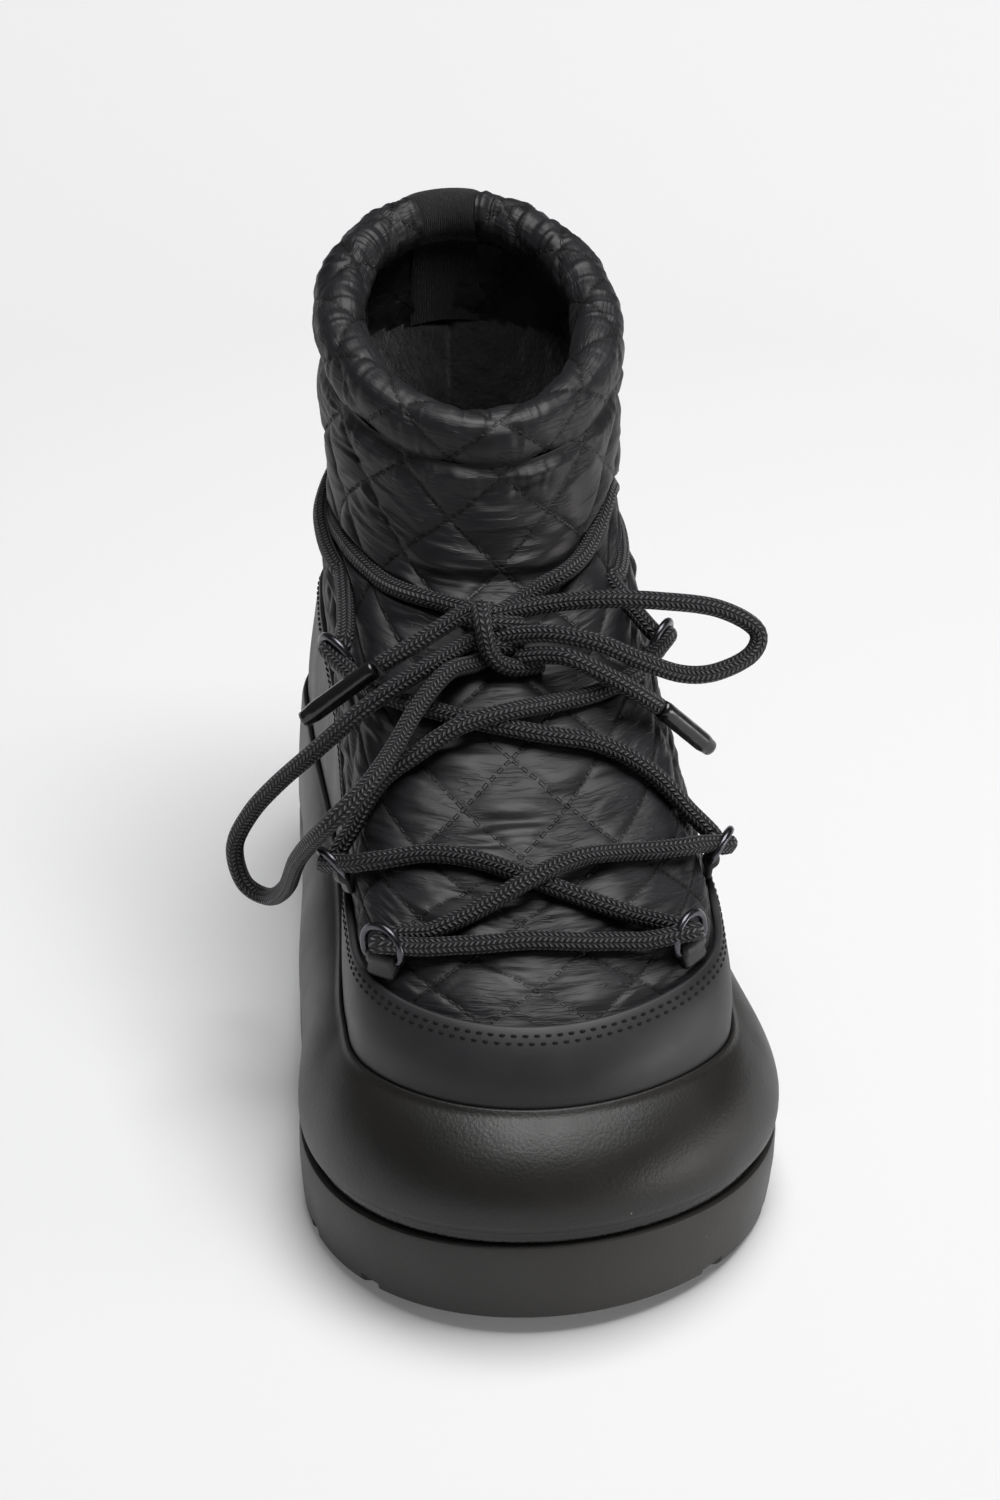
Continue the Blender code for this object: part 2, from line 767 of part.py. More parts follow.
def build_ring_and_tab(name, frame, metal, leather):
    root, along, off, across = frame
    hole = WIRE_RADIUS + GAP
    loop = hole + TAB_LEATHER
    lift = GAP + 0.2 * MM
    centre = root + along * TAB_REACH + off * (lift + loop)
    pull = along * math.cos(RING_TILT) + off * math.sin(RING_TILT)
    corner = 1.6 * MM
    arc_start = RING_DEPTH - RING_HALF_WIDTH
    path = [(0, -RING_HALF_WIDTH + corner), (0, 0), (0, RING_HALF_WIDTH - corner), (corner, RING_HALF_WIDTH)]
    for i in range(9):
        a = math.pi / 2 - math.pi * i / 8
        path.append((arc_start + RING_HALF_WIDTH * math.cos(a), RING_HALF_WIDTH * math.sin(a)))
    path.append((corner, -RING_HALF_WIDTH))
    cord("ring_" + name, [centre + pull * u + across * w for u, w in path], WIRE_RADIUS, metal, closed=True)
    outer, inner = [], []
    sides = 12
    for i in range(sides):
        a = 2 * math.pi * i / sides
        u, v = math.cos(a), math.sin(a)
        inner.append((u * hole, v * hole))
        outer.append((u * loop, v * loop))
    tail = {sides // 2 - 1: (-TAB_REACH, -0.2 * MM), sides // 2: (-TAB_REACH, -loop * 0.6)}
    tail[sides // 2 + 1] = (-TAB_REACH, -loop)
    outer = [tail.get(i, point) for i, point in enumerate(outer)]
    half = across * TAB_WIDTH / 2
    loops = []
    for profile, shift in ((outer, -half), (outer, half), (inner, half), (inner, -half)):
        loops.append([centre + along * u + off * v + shift for u, v in profile])
    ring_body("tab_" + name, leather, loops)


def build_rings(metal, leather):
    for name, root_turn, root_share, aim_turn, aim_share in RINGS:
        outer = [math.radians(root_turn), root_share, math.radians(aim_turn), aim_share]
        inner = [2 * math.pi - outer[0], root_share, 2 * math.pi - outer[2], aim_share]
        build_ring_and_tab(name + "_outer", ring_frame(*outer), metal, leather)
        build_ring_and_tab(name + "_inner", ring_frame(*inner), metal, leather)


def build_lace(braid, plastic):
    tube_mesh("lace_front_bar", strand_path(FRONT_BAR, LACE_STEP), LACE_RADIUS, braid)
    joined_strands("lace_low_crossing", LOW_UNDER, LOW_OVER, braid)
    joined_strands("lace_high_crossing", HIGH_UNDER, HIGH_OVER, braid)
    joined_strands("lace_ankle_wraps", WRAP_UNDER, WRAP_OVER, braid)
    build_knot(braid)
    bow = (
        ("lace_loop_outer", LOOP_OUTER, LACE_RADIUS, braid),
        ("lace_loop_inner", LOOP_INNER, LACE_RADIUS, braid),
        ("lace_end_outer", END_OUTER, LACE_RADIUS, braid),
        ("lace_end_inner", END_INNER, LACE_RADIUS, braid),
        ("aglet_outer", AGLET_OUTER, AGLET_RADIUS, plastic),
        ("aglet_inner", AGLET_INNER, AGLET_RADIUS, plastic),
    )
    for name, places, radius, finish in bow:
        points = smooth_path([bow_place(*row) for row in places], LACE_STEP)
        cord(name, points, radius, finish)


def main():
    for leftover in list(bpy.data.objects):
        bpy.data.objects.remove(leftover)
    rubber = material("black rubber", (0.016, 0.015, 0.014), 0.55)
    foam = material("black moulded foam", (0.018, 0.017, 0.016), 0.48)
    coated = material("black coated leather", (0.020, 0.020, 0.020), 0.45)
    quilt = material("black quilted nylon", (0.017, 0.016, 0.018), 0.50)
    fleece = material("black fleece", (0.010, 0.010, 0.010), 0.95)
    gunmetal = material("dark gunmetal", (0.06, 0.06, 0.065), 0.28, metallic=1.0)
    braid = material("black braided cord", (0.012, 0.012, 0.012), 0.80)
    plastic = material("black plastic", (0.014, 0.014, 0.014), 0.35)
    build_outsole(rubber)
    build_midsole(foam)
    build_upper(quilt)
    build_rand(coated)
    build_collar_roll(quilt)
    build_insole(fleece)
    build_back_strip(fleece)
    build_rings(gunmetal, coated)
    build_lace(braid, plastic)


main()
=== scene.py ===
"""Dresses the solids of a left apres-ski boot for the photograph: quilting, leather, foam, braid and light.

Metres, +Z up. The toe points along -Y and the boot's outer side faces +X.
"""

import json
import math

import bmesh
import bpy
import numpy as np
from mathutils import Matrix, Vector
from mathutils.kdtree import KDTree

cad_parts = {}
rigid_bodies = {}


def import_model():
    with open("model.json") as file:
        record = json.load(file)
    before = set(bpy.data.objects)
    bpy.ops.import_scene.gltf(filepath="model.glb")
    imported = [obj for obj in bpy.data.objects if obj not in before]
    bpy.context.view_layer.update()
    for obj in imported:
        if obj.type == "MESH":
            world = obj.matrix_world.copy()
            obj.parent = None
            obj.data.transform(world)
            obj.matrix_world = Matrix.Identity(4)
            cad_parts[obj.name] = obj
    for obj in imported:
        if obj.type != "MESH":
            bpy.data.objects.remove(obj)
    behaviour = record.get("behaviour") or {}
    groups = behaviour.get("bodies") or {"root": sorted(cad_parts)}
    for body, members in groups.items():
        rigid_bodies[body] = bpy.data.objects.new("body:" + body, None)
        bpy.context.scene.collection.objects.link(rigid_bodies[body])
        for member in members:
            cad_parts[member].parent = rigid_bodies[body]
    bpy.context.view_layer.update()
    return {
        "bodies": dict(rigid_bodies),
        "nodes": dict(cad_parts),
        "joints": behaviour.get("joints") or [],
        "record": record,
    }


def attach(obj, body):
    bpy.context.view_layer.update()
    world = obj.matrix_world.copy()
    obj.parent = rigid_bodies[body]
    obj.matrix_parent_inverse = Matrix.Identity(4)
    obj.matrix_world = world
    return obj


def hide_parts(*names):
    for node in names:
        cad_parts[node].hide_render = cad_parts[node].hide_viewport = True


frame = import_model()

MM = 0.001
GAP = 0.3 * MM

# Sole, in the sizes of the solids
SOLE_LENGTH = 290 * MM
SOLE_WIDTH = 129 * MM
OUTSOLE_TOP = 22 * MM
GROOVE_HEIGHT = 4 * MM
GROOVE_DEPTH = 2.6 * MM
OUTSOLE_EDGE = 1.2 * MM
OUTSOLE_DRAFT = 1.5 * MM
TOE_SPRING = 5 * MM
GROOVE_LIFT = 6.5 * MM
HEEL_BEVEL = 2.5 * MM
ARCH_LIFT = 2.5 * MM
LUG_DEPTH = 3 * MM
LUG_SLOT = 5 * MM
LUG_PITCH = 25 * MM
LUG_SLANT = 9 * MM

# Footbed and upper
SEAT_HEIGHT = 38 * MM
LIP_HEIGHT = 52 * MM
UPPER_BACK = 13 * MM
UPPER_LENGTH = 255 * MM
UPPER_WIDTH = 99 * MM
UPPER_HEIGHT = 152 * MM
UPPER_WALL = 4 * MM
INSOLE_THICKNESS = 5 * MM
RAND_WALL = 1.6 * MM
RAND_GAP = 0.4 * MM
LIP_THICKNESS = 1.6 * MM

# Collar and its strip
ROLL_RADIUS = 7.2 * MM
ROLL_INWARD = 6 * MM
SHAFT_SWING = 0.018
STRIP_THICKNESS = 1.2 * MM
STRIP_TURN = math.radians(17)
STRIP_MIDDLE = math.radians(-4)

# Rings, tabs and lace
WIRE_RADIUS = 1.1 * MM
RING_HALF_WIDTH = 6.5 * MM
RING_DEPTH = 9.5 * MM
RING_TILT = math.radians(48)
TAB_WIDTH = 9 * MM
TAB_LEATHER = 1.0 * MM
TAB_REACH = 4.2 * MM
TAB_FOLD = WIRE_RADIUS + GAP + TAB_LEATHER
LACE_RADIUS = 2.5 * MM
AGLET_RADIUS = 2.9 * MM
BRAID_ROWS = 10
BRAID_PITCH = 1.45 * MM

# How the lace is laid: the step between two points of its mesh, and how deep it is pressed into the cloth
CORD_STEP = 1.3 * MM
STRAND_SINK = 0.4 * MM
WRAP_SINK = 3.8 * MM
BIGHT_ROOM = 6.5 * MM

# Quilting: a diamond's width and height, how far its middle stands out over its stitches, and its folds
DIAMOND_WIDTH = 28.5 * MM
DIAMOND_HEIGHT = 25 * MM
STITCHES_A_SIDE = 6.5
PUFF = 2.0 * MM
PUFF_POWER = 0.42
VAMP_FLATTER = 0.42
PUCKER = 0.6 * MM
PLEAT = 0.45 * MM
HEEL_VALLEY = 1.3 * MM

# The rand's turned top edge: share of rows over it, share of its thickness
RAND_TURN = ((0.0015, 0.97), (0.004, 0.84), (0.0055, 0.6), (0.0055, 0.35), (0.0045, 0.12), (0.001, 0.02))

# Stitches of the rand: how far its two rows lie under its edge, as shares of the rows, and one stitch's sizes
STITCH_ROWS = (0.0125, 0.0265)
STITCH_PITCH = 3.0 * MM
STITCH_LENGTH = 1.9 * MM
STITCH_RADIUS = 0.42 * MM

# Camera: the photograph's own place, aimed at this boot with a longer lens
CAMERA_PLACE = Vector((-0.1349, -1.0374, 0.6843))
PHOTO_VIEW = Vector((0.0691, 0.8553, -0.5137))
PHOTO_RIGHT = Vector((0.9968, -0.0805, 0.0))
CAMERA_AIM = Vector((-0.003, 0.0, 0.093))
CAMERA_LENS = 104
CAMERA_SENSOR = 36

# Studio: the floor's half width, the world's strength on the boot and behind it, and the lamps
FLOOR_REACH = 6.0
WORLD_ON_BOOT = 0.09
WORLD_BEHIND = 0.92
LAMPS = (
    # name, place, size, watts, aim, colour
    ("overhead", (0.3, 0.05, 1.9), (1.3, 1.1), 33, (0, 0, 0.09), "#ffffff"),
    ("key", (-0.1, -0.3, 1.7), (0.4, 0.4), 1.6, (0, 0, 0.09), "#ffffff"),
    ("outer_side", (2.4, -0.9, 0.25), (1.4, 0.45), 18, (0, 0, 0.03), "#fffaf5"),
)

# The same tables as the solids: plans of the sole and of the foot, the rows of lip and upper, and the rings
SOLE_PLAN = (
    # along, outer side, inner side, swing
    (0.00, 1.26, 1.26, 0.014),
    (0.05, 1.20, 1.20, 0.014),
    (0.14, 1.05, 1.04, 0.010),
    (0.25, 0.88, 0.87, 0.008),
    (0.38, 0.82, 0.83, 0.004),
    (0.52, 0.88, 0.89, -0.006),
    (0.66, 1.02, 0.99, -0.014),
    (0.79, 1.23, 1.22, -0.018),
    (0.91, 1.36, 1.37, 0.002),
    (1.00, 1.46, 1.48, 0.030),
)
FOOT_PLAN = (
    # along, outer side, inner side, swing
    (0.00, 1.42, 1.42, 0.015),
    (0.10, 1.33, 1.33, 0.015),
    (0.20, 1.08, 1.08, 0.013),
    (0.35, 0.90, 0.90, 0.004),
    (0.50, 0.89, 0.87, -0.010),
    (0.65, 1.00, 0.98, -0.020),
    (0.80, 1.25, 1.24, -0.022),
    (0.90, 1.50, 1.50, -0.008),
    (1.00, 1.57, 1.60, 0.025),
)
LIP_RISE = (
    # along, rise
    (0.00, 0.20),
    (0.25, 0.14),
    (0.50, 0.06),
    (0.72, 0.00),
    (1.00, 0.09),
)
MIDSOLE_ROWS = (
    # up, in
    (0.00, 0.04),
    (0.08, 0.00),
    (0.30, 0.02),
    (0.52, 0.15),
    (0.72, 0.38),
    (0.89, 0.70),
    (1.00, 1.00),
)
UPPER_ROWS = (
    # back, back height, front, front height, width, foot
    (0.012, 0.002, 0.984, 0.028, 0.94, 1.00),
    (0.003, 0.055, 1.000, 0.084, 0.99, 1.00),
    (0.000, 0.115, 0.998, 0.136, 1.00, 1.00),
    (0.000, 0.175, 0.986, 0.184, 1.00, 1.00),
    (0.001, 0.235, 0.958, 0.235, 0.99, 0.97),
    (0.003, 0.300, 0.898, 0.288, 0.97, 0.92),
    (0.007, 0.370, 0.815, 0.350, 0.95, 0.84),
    (0.011, 0.440, 0.722, 0.418, 0.93, 0.70),
    (0.014, 0.515, 0.622, 0.500, 0.91, 0.50),
    (0.018, 0.595, 0.530, 0.582, 0.87, 0.28),
    (0.020, 0.690, 0.466, 0.645, 0.815, 0.12),
    (0.010, 0.830, 0.435, 0.735, 0.830, 0.03),
    (-0.010, 1.000, 0.413, 0.850, 0.85, 0.00),
)
RAND_EDGE = (
    # along, share of rows
    (0.00, 0.520),
    (0.20, 0.515),
    (0.35, 0.500),
    (0.50, 0.455),
    (0.65, 0.400),
    (0.80, 0.362),
    (0.92, 0.338),
    (1.00, 0.330),
)
QUILT_ROWS = (
    # mm up from the collar's seam, rows of diamonds down, mm that the middle crossing lies to the outer side
    (-230, 9.3, 0.0),
    (-163.3, 6, 0.0),
    (-142.4, 5, -2.0),
    (-121, 4, 0.0),
    (-89.2, 3, 0.5),
    (-58.8, 2, 1.5),
    (-28.4, 1, 2.2),
    (-3.4, 0, 3.4),
    (21.6, -1, 3.0),
    (71.6, -3, 3.0),
)
RINGS = (
    # name, root turn, root share, aim turn, aim share
    ("toe", 146, 0.358, 151, 0.420),
    ("vamp", 125, 0.398, 131, 0.470),
    ("ankle", 123, 0.655, 130, 0.715),
)

# The lace's strands, as in the solids: turn in degrees, share of the rows, middle line over the surface in mm
FRONT_BAR = (
    (157, 0.412, 5.0),
    (166, 0.432, 3.2),
    (180, 0.445, 3.1),
    (194, 0.435, 3.2),
    (204, 0.415, 5.0),
)
LOW_OVER = (
    (202, 0.440, 3.2),
    (190, 0.478, 3.6),
    (179, 0.505, 6.4),
    (169, 0.522, 6.0),
    (159, 0.522, 3.4),
    (148, 0.505, 3.2),
    (138, 0.482, 4.6),
)
LOW_UNDER = (
    (154, 0.434, 3.2),
    (162, 0.464, 3.1),
    (171, 0.493, 3.1),
    (180, 0.516, 3.1),
    (190, 0.532, 3.1),
    (201, 0.530, 3.1),
    (212, 0.507, 3.2),
    (222, 0.478, 4.6),
)
HIGH_UNDER = (
    (136, 0.520, 3.2),
    (146, 0.590, 3.1),
    (157, 0.632, 3.1),
    (170, 0.652, 3.1),
    (184, 0.666, 3.1),
    (198, 0.674, 3.1),
    (211, 0.676, 3.1),
    (223, 0.676, 3.4),
)
HIGH_OVER = (
    (224, 0.520, 3.2),
    (214, 0.590, 3.2),
    (203, 0.630, 3.8),
    (192, 0.657, 6.2),
    (180, 0.672, 6.2),
    (168, 0.680, 3.8),
    (154, 0.680, 3.2),
    (139, 0.680, 3.6),
)
WRAP_UNDER = (
    (128, 0.775, 3.2),
    (108, 0.775, 3.1),
    (80, 0.765, 3.1),
    (40, 0.755, 3.1),
    (0, 0.750, 3.1),
    (-40, 0.755, 3.1),
    (-75, 0.778, 3.1),
    (-104, 0.804, 3.1),
    (-122, 0.811, 3.1),
    (-142, 0.808, 3.1),
    (-164, 0.798, 3.2),
)
WRAP_OVER = (
    (248, 0.757, 3.6),
    (262, 0.766, 5.6),
    (276, 0.780, 6.2),
    (291, 0.794, 4.6),
    (308, 0.805, 3.1),
    (360, 0.804, 3.1),
    (410, 0.810, 3.1),
    (450, 0.836, 3.1),
    (474, 0.880, 3.5),
    (488, 0.868, 3.9),
    (504, 0.846, 3.9),
    (524, 0.820, 4.0),
)

# The bow, as in the solids: across to the outer side, forward of the heel and over the floor, in mm
KNOT_PLACE = (-5.0, 148.5, 133.6)
KNOT_WRAP = (
    (-9.0, 146.5, 137.5),
    (-9.8, 150.5, 140.2),
    (-9.8, 155.0, 138.6),
    (-9.2, 156.8, 135.0),
    (-8.4, 157.2, 131.5),
    (-5.8, 157.4, 127.6),
    (-1.8, 156.8, 125.4),
    (2.9, 155.5, 124.8),
    (6.5, 154.0, 124.6),
)
KNOT_BACK = (
    (-14.5, 147.0, 136.4),
    (-9.5, 149.3, 135.8),
    (-4.0, 149.6, 135.0),
    (1.5, 147.5, 133.5),
)
KNOT_LOW = (
    (-14.0, 151.0, 129.6),
    (-8.5, 152.4, 130.2),
    (-3.5, 152.6, 129.6),
    (1.0, 151.0, 128.6),
)
LOOP_OUTER = (
    (-7.5, 147.5, 136.8),
    (0.9, 145.5, 137.2),
    (13, 145, 138.5),
    (25, 146, 139.5),
    (39, 146, 138.5),
    (56, 145, 135),
    (67, 146, 128.5),
    (65.5, 149, 122.5),
    (55, 154, 120),
    (44.9, 156, 121),
    (33.1, 158, 126.8),
    (21.6, 158, 132.6),
    (10.6, 156, 134.6),
    (2.0, 153, 133.4),
    (-6.0, 151.0, 131.4),
)
END_OUTER = (
    (0.3, 154.4, 127.0),
    (8, 158.5, 129.6),
    (15, 162, 129.6),
    (29.4, 164.8, 122.0),
    (38, 163.5, 115.2),
)
AGLET_OUTER = (
    (38.6, 163.3, 114.6),
    (53.5, 158, 98.5),
)
LOOP_INNER = (
    (-6.0, 149.0, 132.0),
    (-14.0, 152.4, 130.6),
    (-28.3, 161, 126.8),
    (-42.3, 166, 119.8),
    (-55, 163, 106),
    (-66, 156, 91),
    (-73, 151, 79),
    (-77, 148, 67),
    (-74.5, 149, 56),
    (-68, 153, 53.5),
    (-64, 167, 65),
    (-62, 188, 87),
    (-55, 203, 106),
    (-45, 199, 114.5),
    (-36.8, 186, 118),
    (-29, 173, 123.2),
    (-20, 162, 127.4),
    (-12.0, 156.0, 126.6),
    (-5.5, 152.5, 128.0),
)
END_INNER = (
    (-5.5, 146.5, 137.4),
    (-13.0, 146.6, 137.4),
    (-25, 153, 133.5),
    (-38, 156, 127),
)
AGLET_INNER = (
    (-39, 156, 126.3),
    (-58, 153, 109.5),
)

# The quilted cloth's seam inside the collar, and its creases
ARCH = (
    # how far from the back as a share of a half turn, share of rows of the lining's lower edge
    (0.00, 0.926),
    (0.14, 0.931),
    (0.30, 0.944),
    (0.42, 0.925),
    (0.60, 0.880),
    (1.00, 0.860),
)
CREASES = (
    # middle turn, share of rows, half the turn that it covers, half its width in mm, depth in mm
    (176, 0.735, 46, 3.4, 2.0),
    (196, 0.765, 30, 2.6, 1.3),
    (158, 0.712, 26, 2.6, 1.2),
    (180, 0.700, 34, 2.4, 0.9),
    (205, 0.620, 18, 2.2, 0.8),
    (160, 0.600, 18, 2.2, 0.8),
    (186, 0.845, 38, 2.6, 0.8),
    (168, 0.900, 24, 2.2, 0.6),
    (182, 0.575, 14, 2.0, 0.7),
    (100, 0.690, 24, 3.0, 1.2),
    (258, 0.690, 24, 3.0, 1.2),
    (20, 0.700, 34, 3.0, 1.0),
    (-24, 0.640, 22, 2.6, 0.8),
    (88, 0.590, 18, 2.6, 0.7),
    (272, 0.600, 18, 2.6, 0.7),
    (179, 0.580, 11, 1.0, 0.8),
    (188, 0.555, 9, 1.0, 0.5),
    (167, 0.540, 9, 1.0, 0.6),
    (193, 0.500, 9, 1.4, 0.7),
    (172, 0.468, 12, 1.4, 0.7),
    (186, 0.425, 11, 1.4, 0.6),
    (160, 0.450, 8, 1.4, 0.7),
    (200, 0.455, 8, 1.4, 0.7),
    (176, 0.385, 9, 1.3, 0.5),
    (170, 0.880, 12, 1.5, 0.6),
    (190, 0.800, 12, 1.5, 0.7),
    (165, 0.790, 10, 1.5, 0.6),
)


def table(rows, at):
    """The columns of a table at places along its first column, by a smooth curve through its rows."""
    rows = np.asarray(rows, float)
    at = np.clip(np.asarray(at, float), rows[0, 0], rows[-1, 0])
    k = np.clip(np.searchsorted(rows[:, 0], at, side="right") - 1, 0, len(rows) - 2)
    before, start = rows[np.maximum(k - 1, 0)], rows[k]
    end, after = rows[k + 1], rows[np.minimum(k + 2, len(rows) - 1)]
    width = (end - start)[..., :1]
    s = (at[..., None] - start[..., :1]) / width
    slope_start = (end - before) / (end - before)[..., :1]
    slope_end = (after - start) / (after - start)[..., :1]
    values = (2 * s**3 - 3 * s**2 + 1) * start + (3 * s**2 - 2 * s**3) * end
    values += ((s**3 - 2 * s**2 + s) * slope_start + (s**3 - s**2) * slope_end) * width
    return np.moveaxis(values[..., 1:], -1, 0)


def ease(share):
    """A smooth step from 0 to 1."""
    share = np.clip(share, 0, 1)
    return share * share * (3 - 2 * share)


def unit(vectors):
    """The vectors at length 1."""
    return vectors / np.maximum(np.linalg.norm(vectors, axis=-1, keepdims=True), 1e-12)


def round_turns(count):
    """This many turns round a full circle, in radians."""
    return np.linspace(0, 2 * math.pi, count, endpoint=False)


def lengths_along(line):
    """How far along a line each of its points lies."""
    return np.concatenate([[0], np.cumsum(np.linalg.norm(np.diff(line, axis=0), axis=1))])


def points_on(line, at):
    """Points at these lengths along a line."""
    lengths = lengths_along(line)
    return np.stack([np.interp(at, lengths, line[:, k]) for k in range(3)], -1)


def resample(line, count):
    """This many points, evenly along a line."""
    return points_on(line, np.linspace(0, lengths_along(line)[-1], count))


def spaced(line, step):
    """Points about this far apart along a line."""
    return resample(line, max(3, round(lengths_along(line)[-1] / step)) + 1)


def along_at(turn):
    """How far towards the toe a loop has come after this turn: 0 at the heel and 1 at the toe."""
    return (1 - np.cos(turn)) / 2


def plan_places(plan, turn, back, front, half_width, foot=1.0):
    """Across and forward on a loop of a plan. Foot is 1 on the foot's own plan and 0 on the shaft's oval."""
    along = along_at(turn)
    outer, inner, swing = table(plan, along)
    side = np.where(np.sin(turn) >= 0, outer, inner)
    middle = (foot * swing + (1 - foot) * SHAFT_SWING) * 2 * half_width
    return half_width * np.sin(turn) * (1 + foot * (side - 1)) - middle, back + (front - back) * along


def middle_of_plan():
    """How far the middle of the sole's outline lies off the plan's own line."""
    across = plan_places(SOLE_PLAN, round_turns(720), 0, SOLE_LENGTH, SOLE_WIDTH / 2)[0]
    return (across.min() + across.max()) / 2


MIDDLE = middle_of_plan()


def place(across, forward, height):
    """Points in the boot's frame, from how far they lie across, forward of the heel and over the floor."""
    return np.stack(np.broadcast_arrays(across - MIDDLE, SOLE_LENGTH / 2 - forward, height), axis=-1)


def upper_surface(turn, share):
    """The upper's outside: turn goes round it from the heel by the outer side, share goes up its rows."""
    turn, share = np.broadcast_arrays(np.asarray(turn, float), np.asarray(share, float))
    numbered = [(i / (len(UPPER_ROWS) - 1), *row) for i, row in enumerate(UPPER_ROWS)]
    back, back_height, front, front_height, width, foot = table(numbered, share)
    across, forward = plan_places(
        FOOT_PLAN,
        turn,
        UPPER_BACK + back * UPPER_LENGTH,
        UPPER_BACK + front * UPPER_LENGTH,
        width * UPPER_WIDTH / 2,
        foot,
    )
    height = back_height + (front_height - back_height) * along_at(turn)
    return place(across, forward, SEAT_HEIGHT + GAP + height * UPPER_HEIGHT)


def upper_normal(turn, share):
    """The direction off the upper's outside."""
    step = 0.01
    low, high = np.maximum(share - step, 0), np.minimum(share + step, 1)
    round_it = upper_surface(turn + step, share) - upper_surface(turn - step, share)
    up_it = upper_surface(turn, high) - upper_surface(turn, low)
    return unit(np.cross(up_it, round_it))


def upper_at(turn, share, out=0.0):
    """Points this far off the upper's outside."""
    return upper_surface(turn, share) + upper_normal(turn, share) * np.asarray(out)[..., None]


def lip_share(turn):
    """The share of the upper's rows at the platform's lip."""
    return share_at_height(turn, LIP_HEIGHT * (1 + table(LIP_RISE, along_at(turn))[0]))


def share_at_height(turn, height):
    """How far up its rows the upper reaches a height on each turn."""
    low, high = np.zeros_like(turn), np.ones_like(turn)
    for _ in range(24):
        middle = (low + high) / 2
        below = upper_surface(turn, middle)[..., 2] < height
        low, high = np.where(below, middle, low), np.where(below, high, middle)
    return low


def roll_frame(turn):
    """The middle line of the collar's padded roll, and its directions outwards and upwards."""
    out = upper_normal(turn, 1.0)
    up = unit(upper_surface(turn, 1.0) - upper_surface(turn, 0.98))
    return upper_at(turn, 1.0, -ROLL_INWARD) + up * (ROLL_RADIUS + GAP), out, up


def soft_noise(x, y, seed):
    """Smooth noise from -1 to 1, about one lump for each step of 1 in x and y."""
    grid = np.random.default_rng(seed).random((256, 256)) * 2 - 1
    x0, y0 = np.floor(x).astype(int), np.floor(y).astype(int)
    fx, fy = ease(x - x0), ease(y - y0)
    a, b = grid[x0 % 256, y0 % 256], grid[(x0 + 1) % 256, y0 % 256]
    c, d = grid[x0 % 256, (y0 + 1) % 256], grid[(x0 + 1) % 256, (y0 + 1) % 256]
    return (a * (1 - fx) + b * fx) * (1 - fy) + (c * (1 - fx) + d * fx) * fy


def add_object(name, data, material=None):
    """Puts a mesh, a lamp or a camera in the scene."""
    if material:
        data.materials.append(material)
    made = bpy.data.objects.new(name, data)
    bpy.context.scene.collection.objects.link(made)
    return made


def smooth_mesh(name, points, faces):
    """A mesh that is shaded smooth."""
    data = bpy.data.meshes.new(name)
    data.from_pydata(points, [], faces)
    data.polygons.foreach_set("use_smooth", np.ones(len(data.polygons), bool))
    return data


def grid_mesh(name, points, material, uv=None, closed=True, flip=False):
    """A mesh of rows and columns of points. Its columns close round the boot if asked."""
    rows, columns = points.shape[:2]
    r, c = np.meshgrid(np.arange(rows - 1), np.arange(columns if closed else columns - 1), indexing="ij")
    corner_rows = np.stack([r, r, r + 1, r + 1], -1).reshape(-1, 4)
    corner_columns = np.stack([c, c + 1, c + 1, c], -1).reshape(-1, 4)
    if flip:
        corner_rows, corner_columns = corner_rows[:, ::-1], corner_columns[:, ::-1]
    faces = corner_rows * columns + corner_columns % columns
    data = smooth_mesh(name, points.reshape(-1, 3).tolist(), faces.tolist())
    if uv is not None:
        layer = data.uv_layers.new(name="surface")
        layer.data.foreach_set("uv", uv[corner_rows, corner_columns].astype(np.float32).ravel())
    return add_object(name, data, material)


def finish_piece(obj, slot, *nodes):
    """Hides the solids that a piece stands for and attaches it to the root body; its slot is not used. The
    whole boot is one body.
    """
    if nodes:
        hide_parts(*nodes)
    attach(obj, "root")


# Colours and shader helpers


def to_linear(code):
    """A colour for a shader socket, from its sRGB hex code."""
    values = [int(code[i : i + 2], 16) / 255 for i in (1, 3, 5)]
    return (*(v / 12.92 if v <= 0.04045 else ((v + 0.055) / 1.055) ** 2.4 for v in values), 1.0)


def new_material(name, colour, roughness, **values):
    """A material with its main numbers and colours set on the shader's own sockets."""
    made = bpy.data.materials.new(name)
    made.use_nodes = True
    shader = made.node_tree.nodes["Principled BSDF"]
    shader.inputs["Base Color"].default_value = to_linear(colour)
    shader.inputs["Roughness"].default_value = roughness
    for key, value in values.items():
        value = to_linear(value) if isinstance(value, str) else value
        shader.inputs[key.replace("_", " ")].default_value = value
    return made


def add_node(material, kind, inputs=(), output=0, **settings):
    """Adds a shader node with its settings and its inputs, in order or by name, and gives an output.

    An input is a link, a number or a colour's hex code. A colour mix has its share at 0 and its colours at
    6 and 7.
    """
    made = material.node_tree.nodes.new("ShaderNode" + kind)
    for key, value in settings.items():
        setattr(made, key, value)
    for key, value in (inputs if isinstance(inputs, dict) else dict(enumerate(inputs))).items():
        if isinstance(value, bpy.types.NodeSocket):
            material.node_tree.links.new(value, made.inputs[key])
        else:
            made.inputs[key].default_value = to_linear(value) if isinstance(value, str) else value
    return made.outputs[output]


def connect(material, **sockets):
    """Links outputs to the shader's sockets."""
    shader = material.node_tree.nodes["Principled BSDF"]
    for key, value in sockets.items():
        material.node_tree.links.new(value, shader.inputs[key.replace("_", " ")])


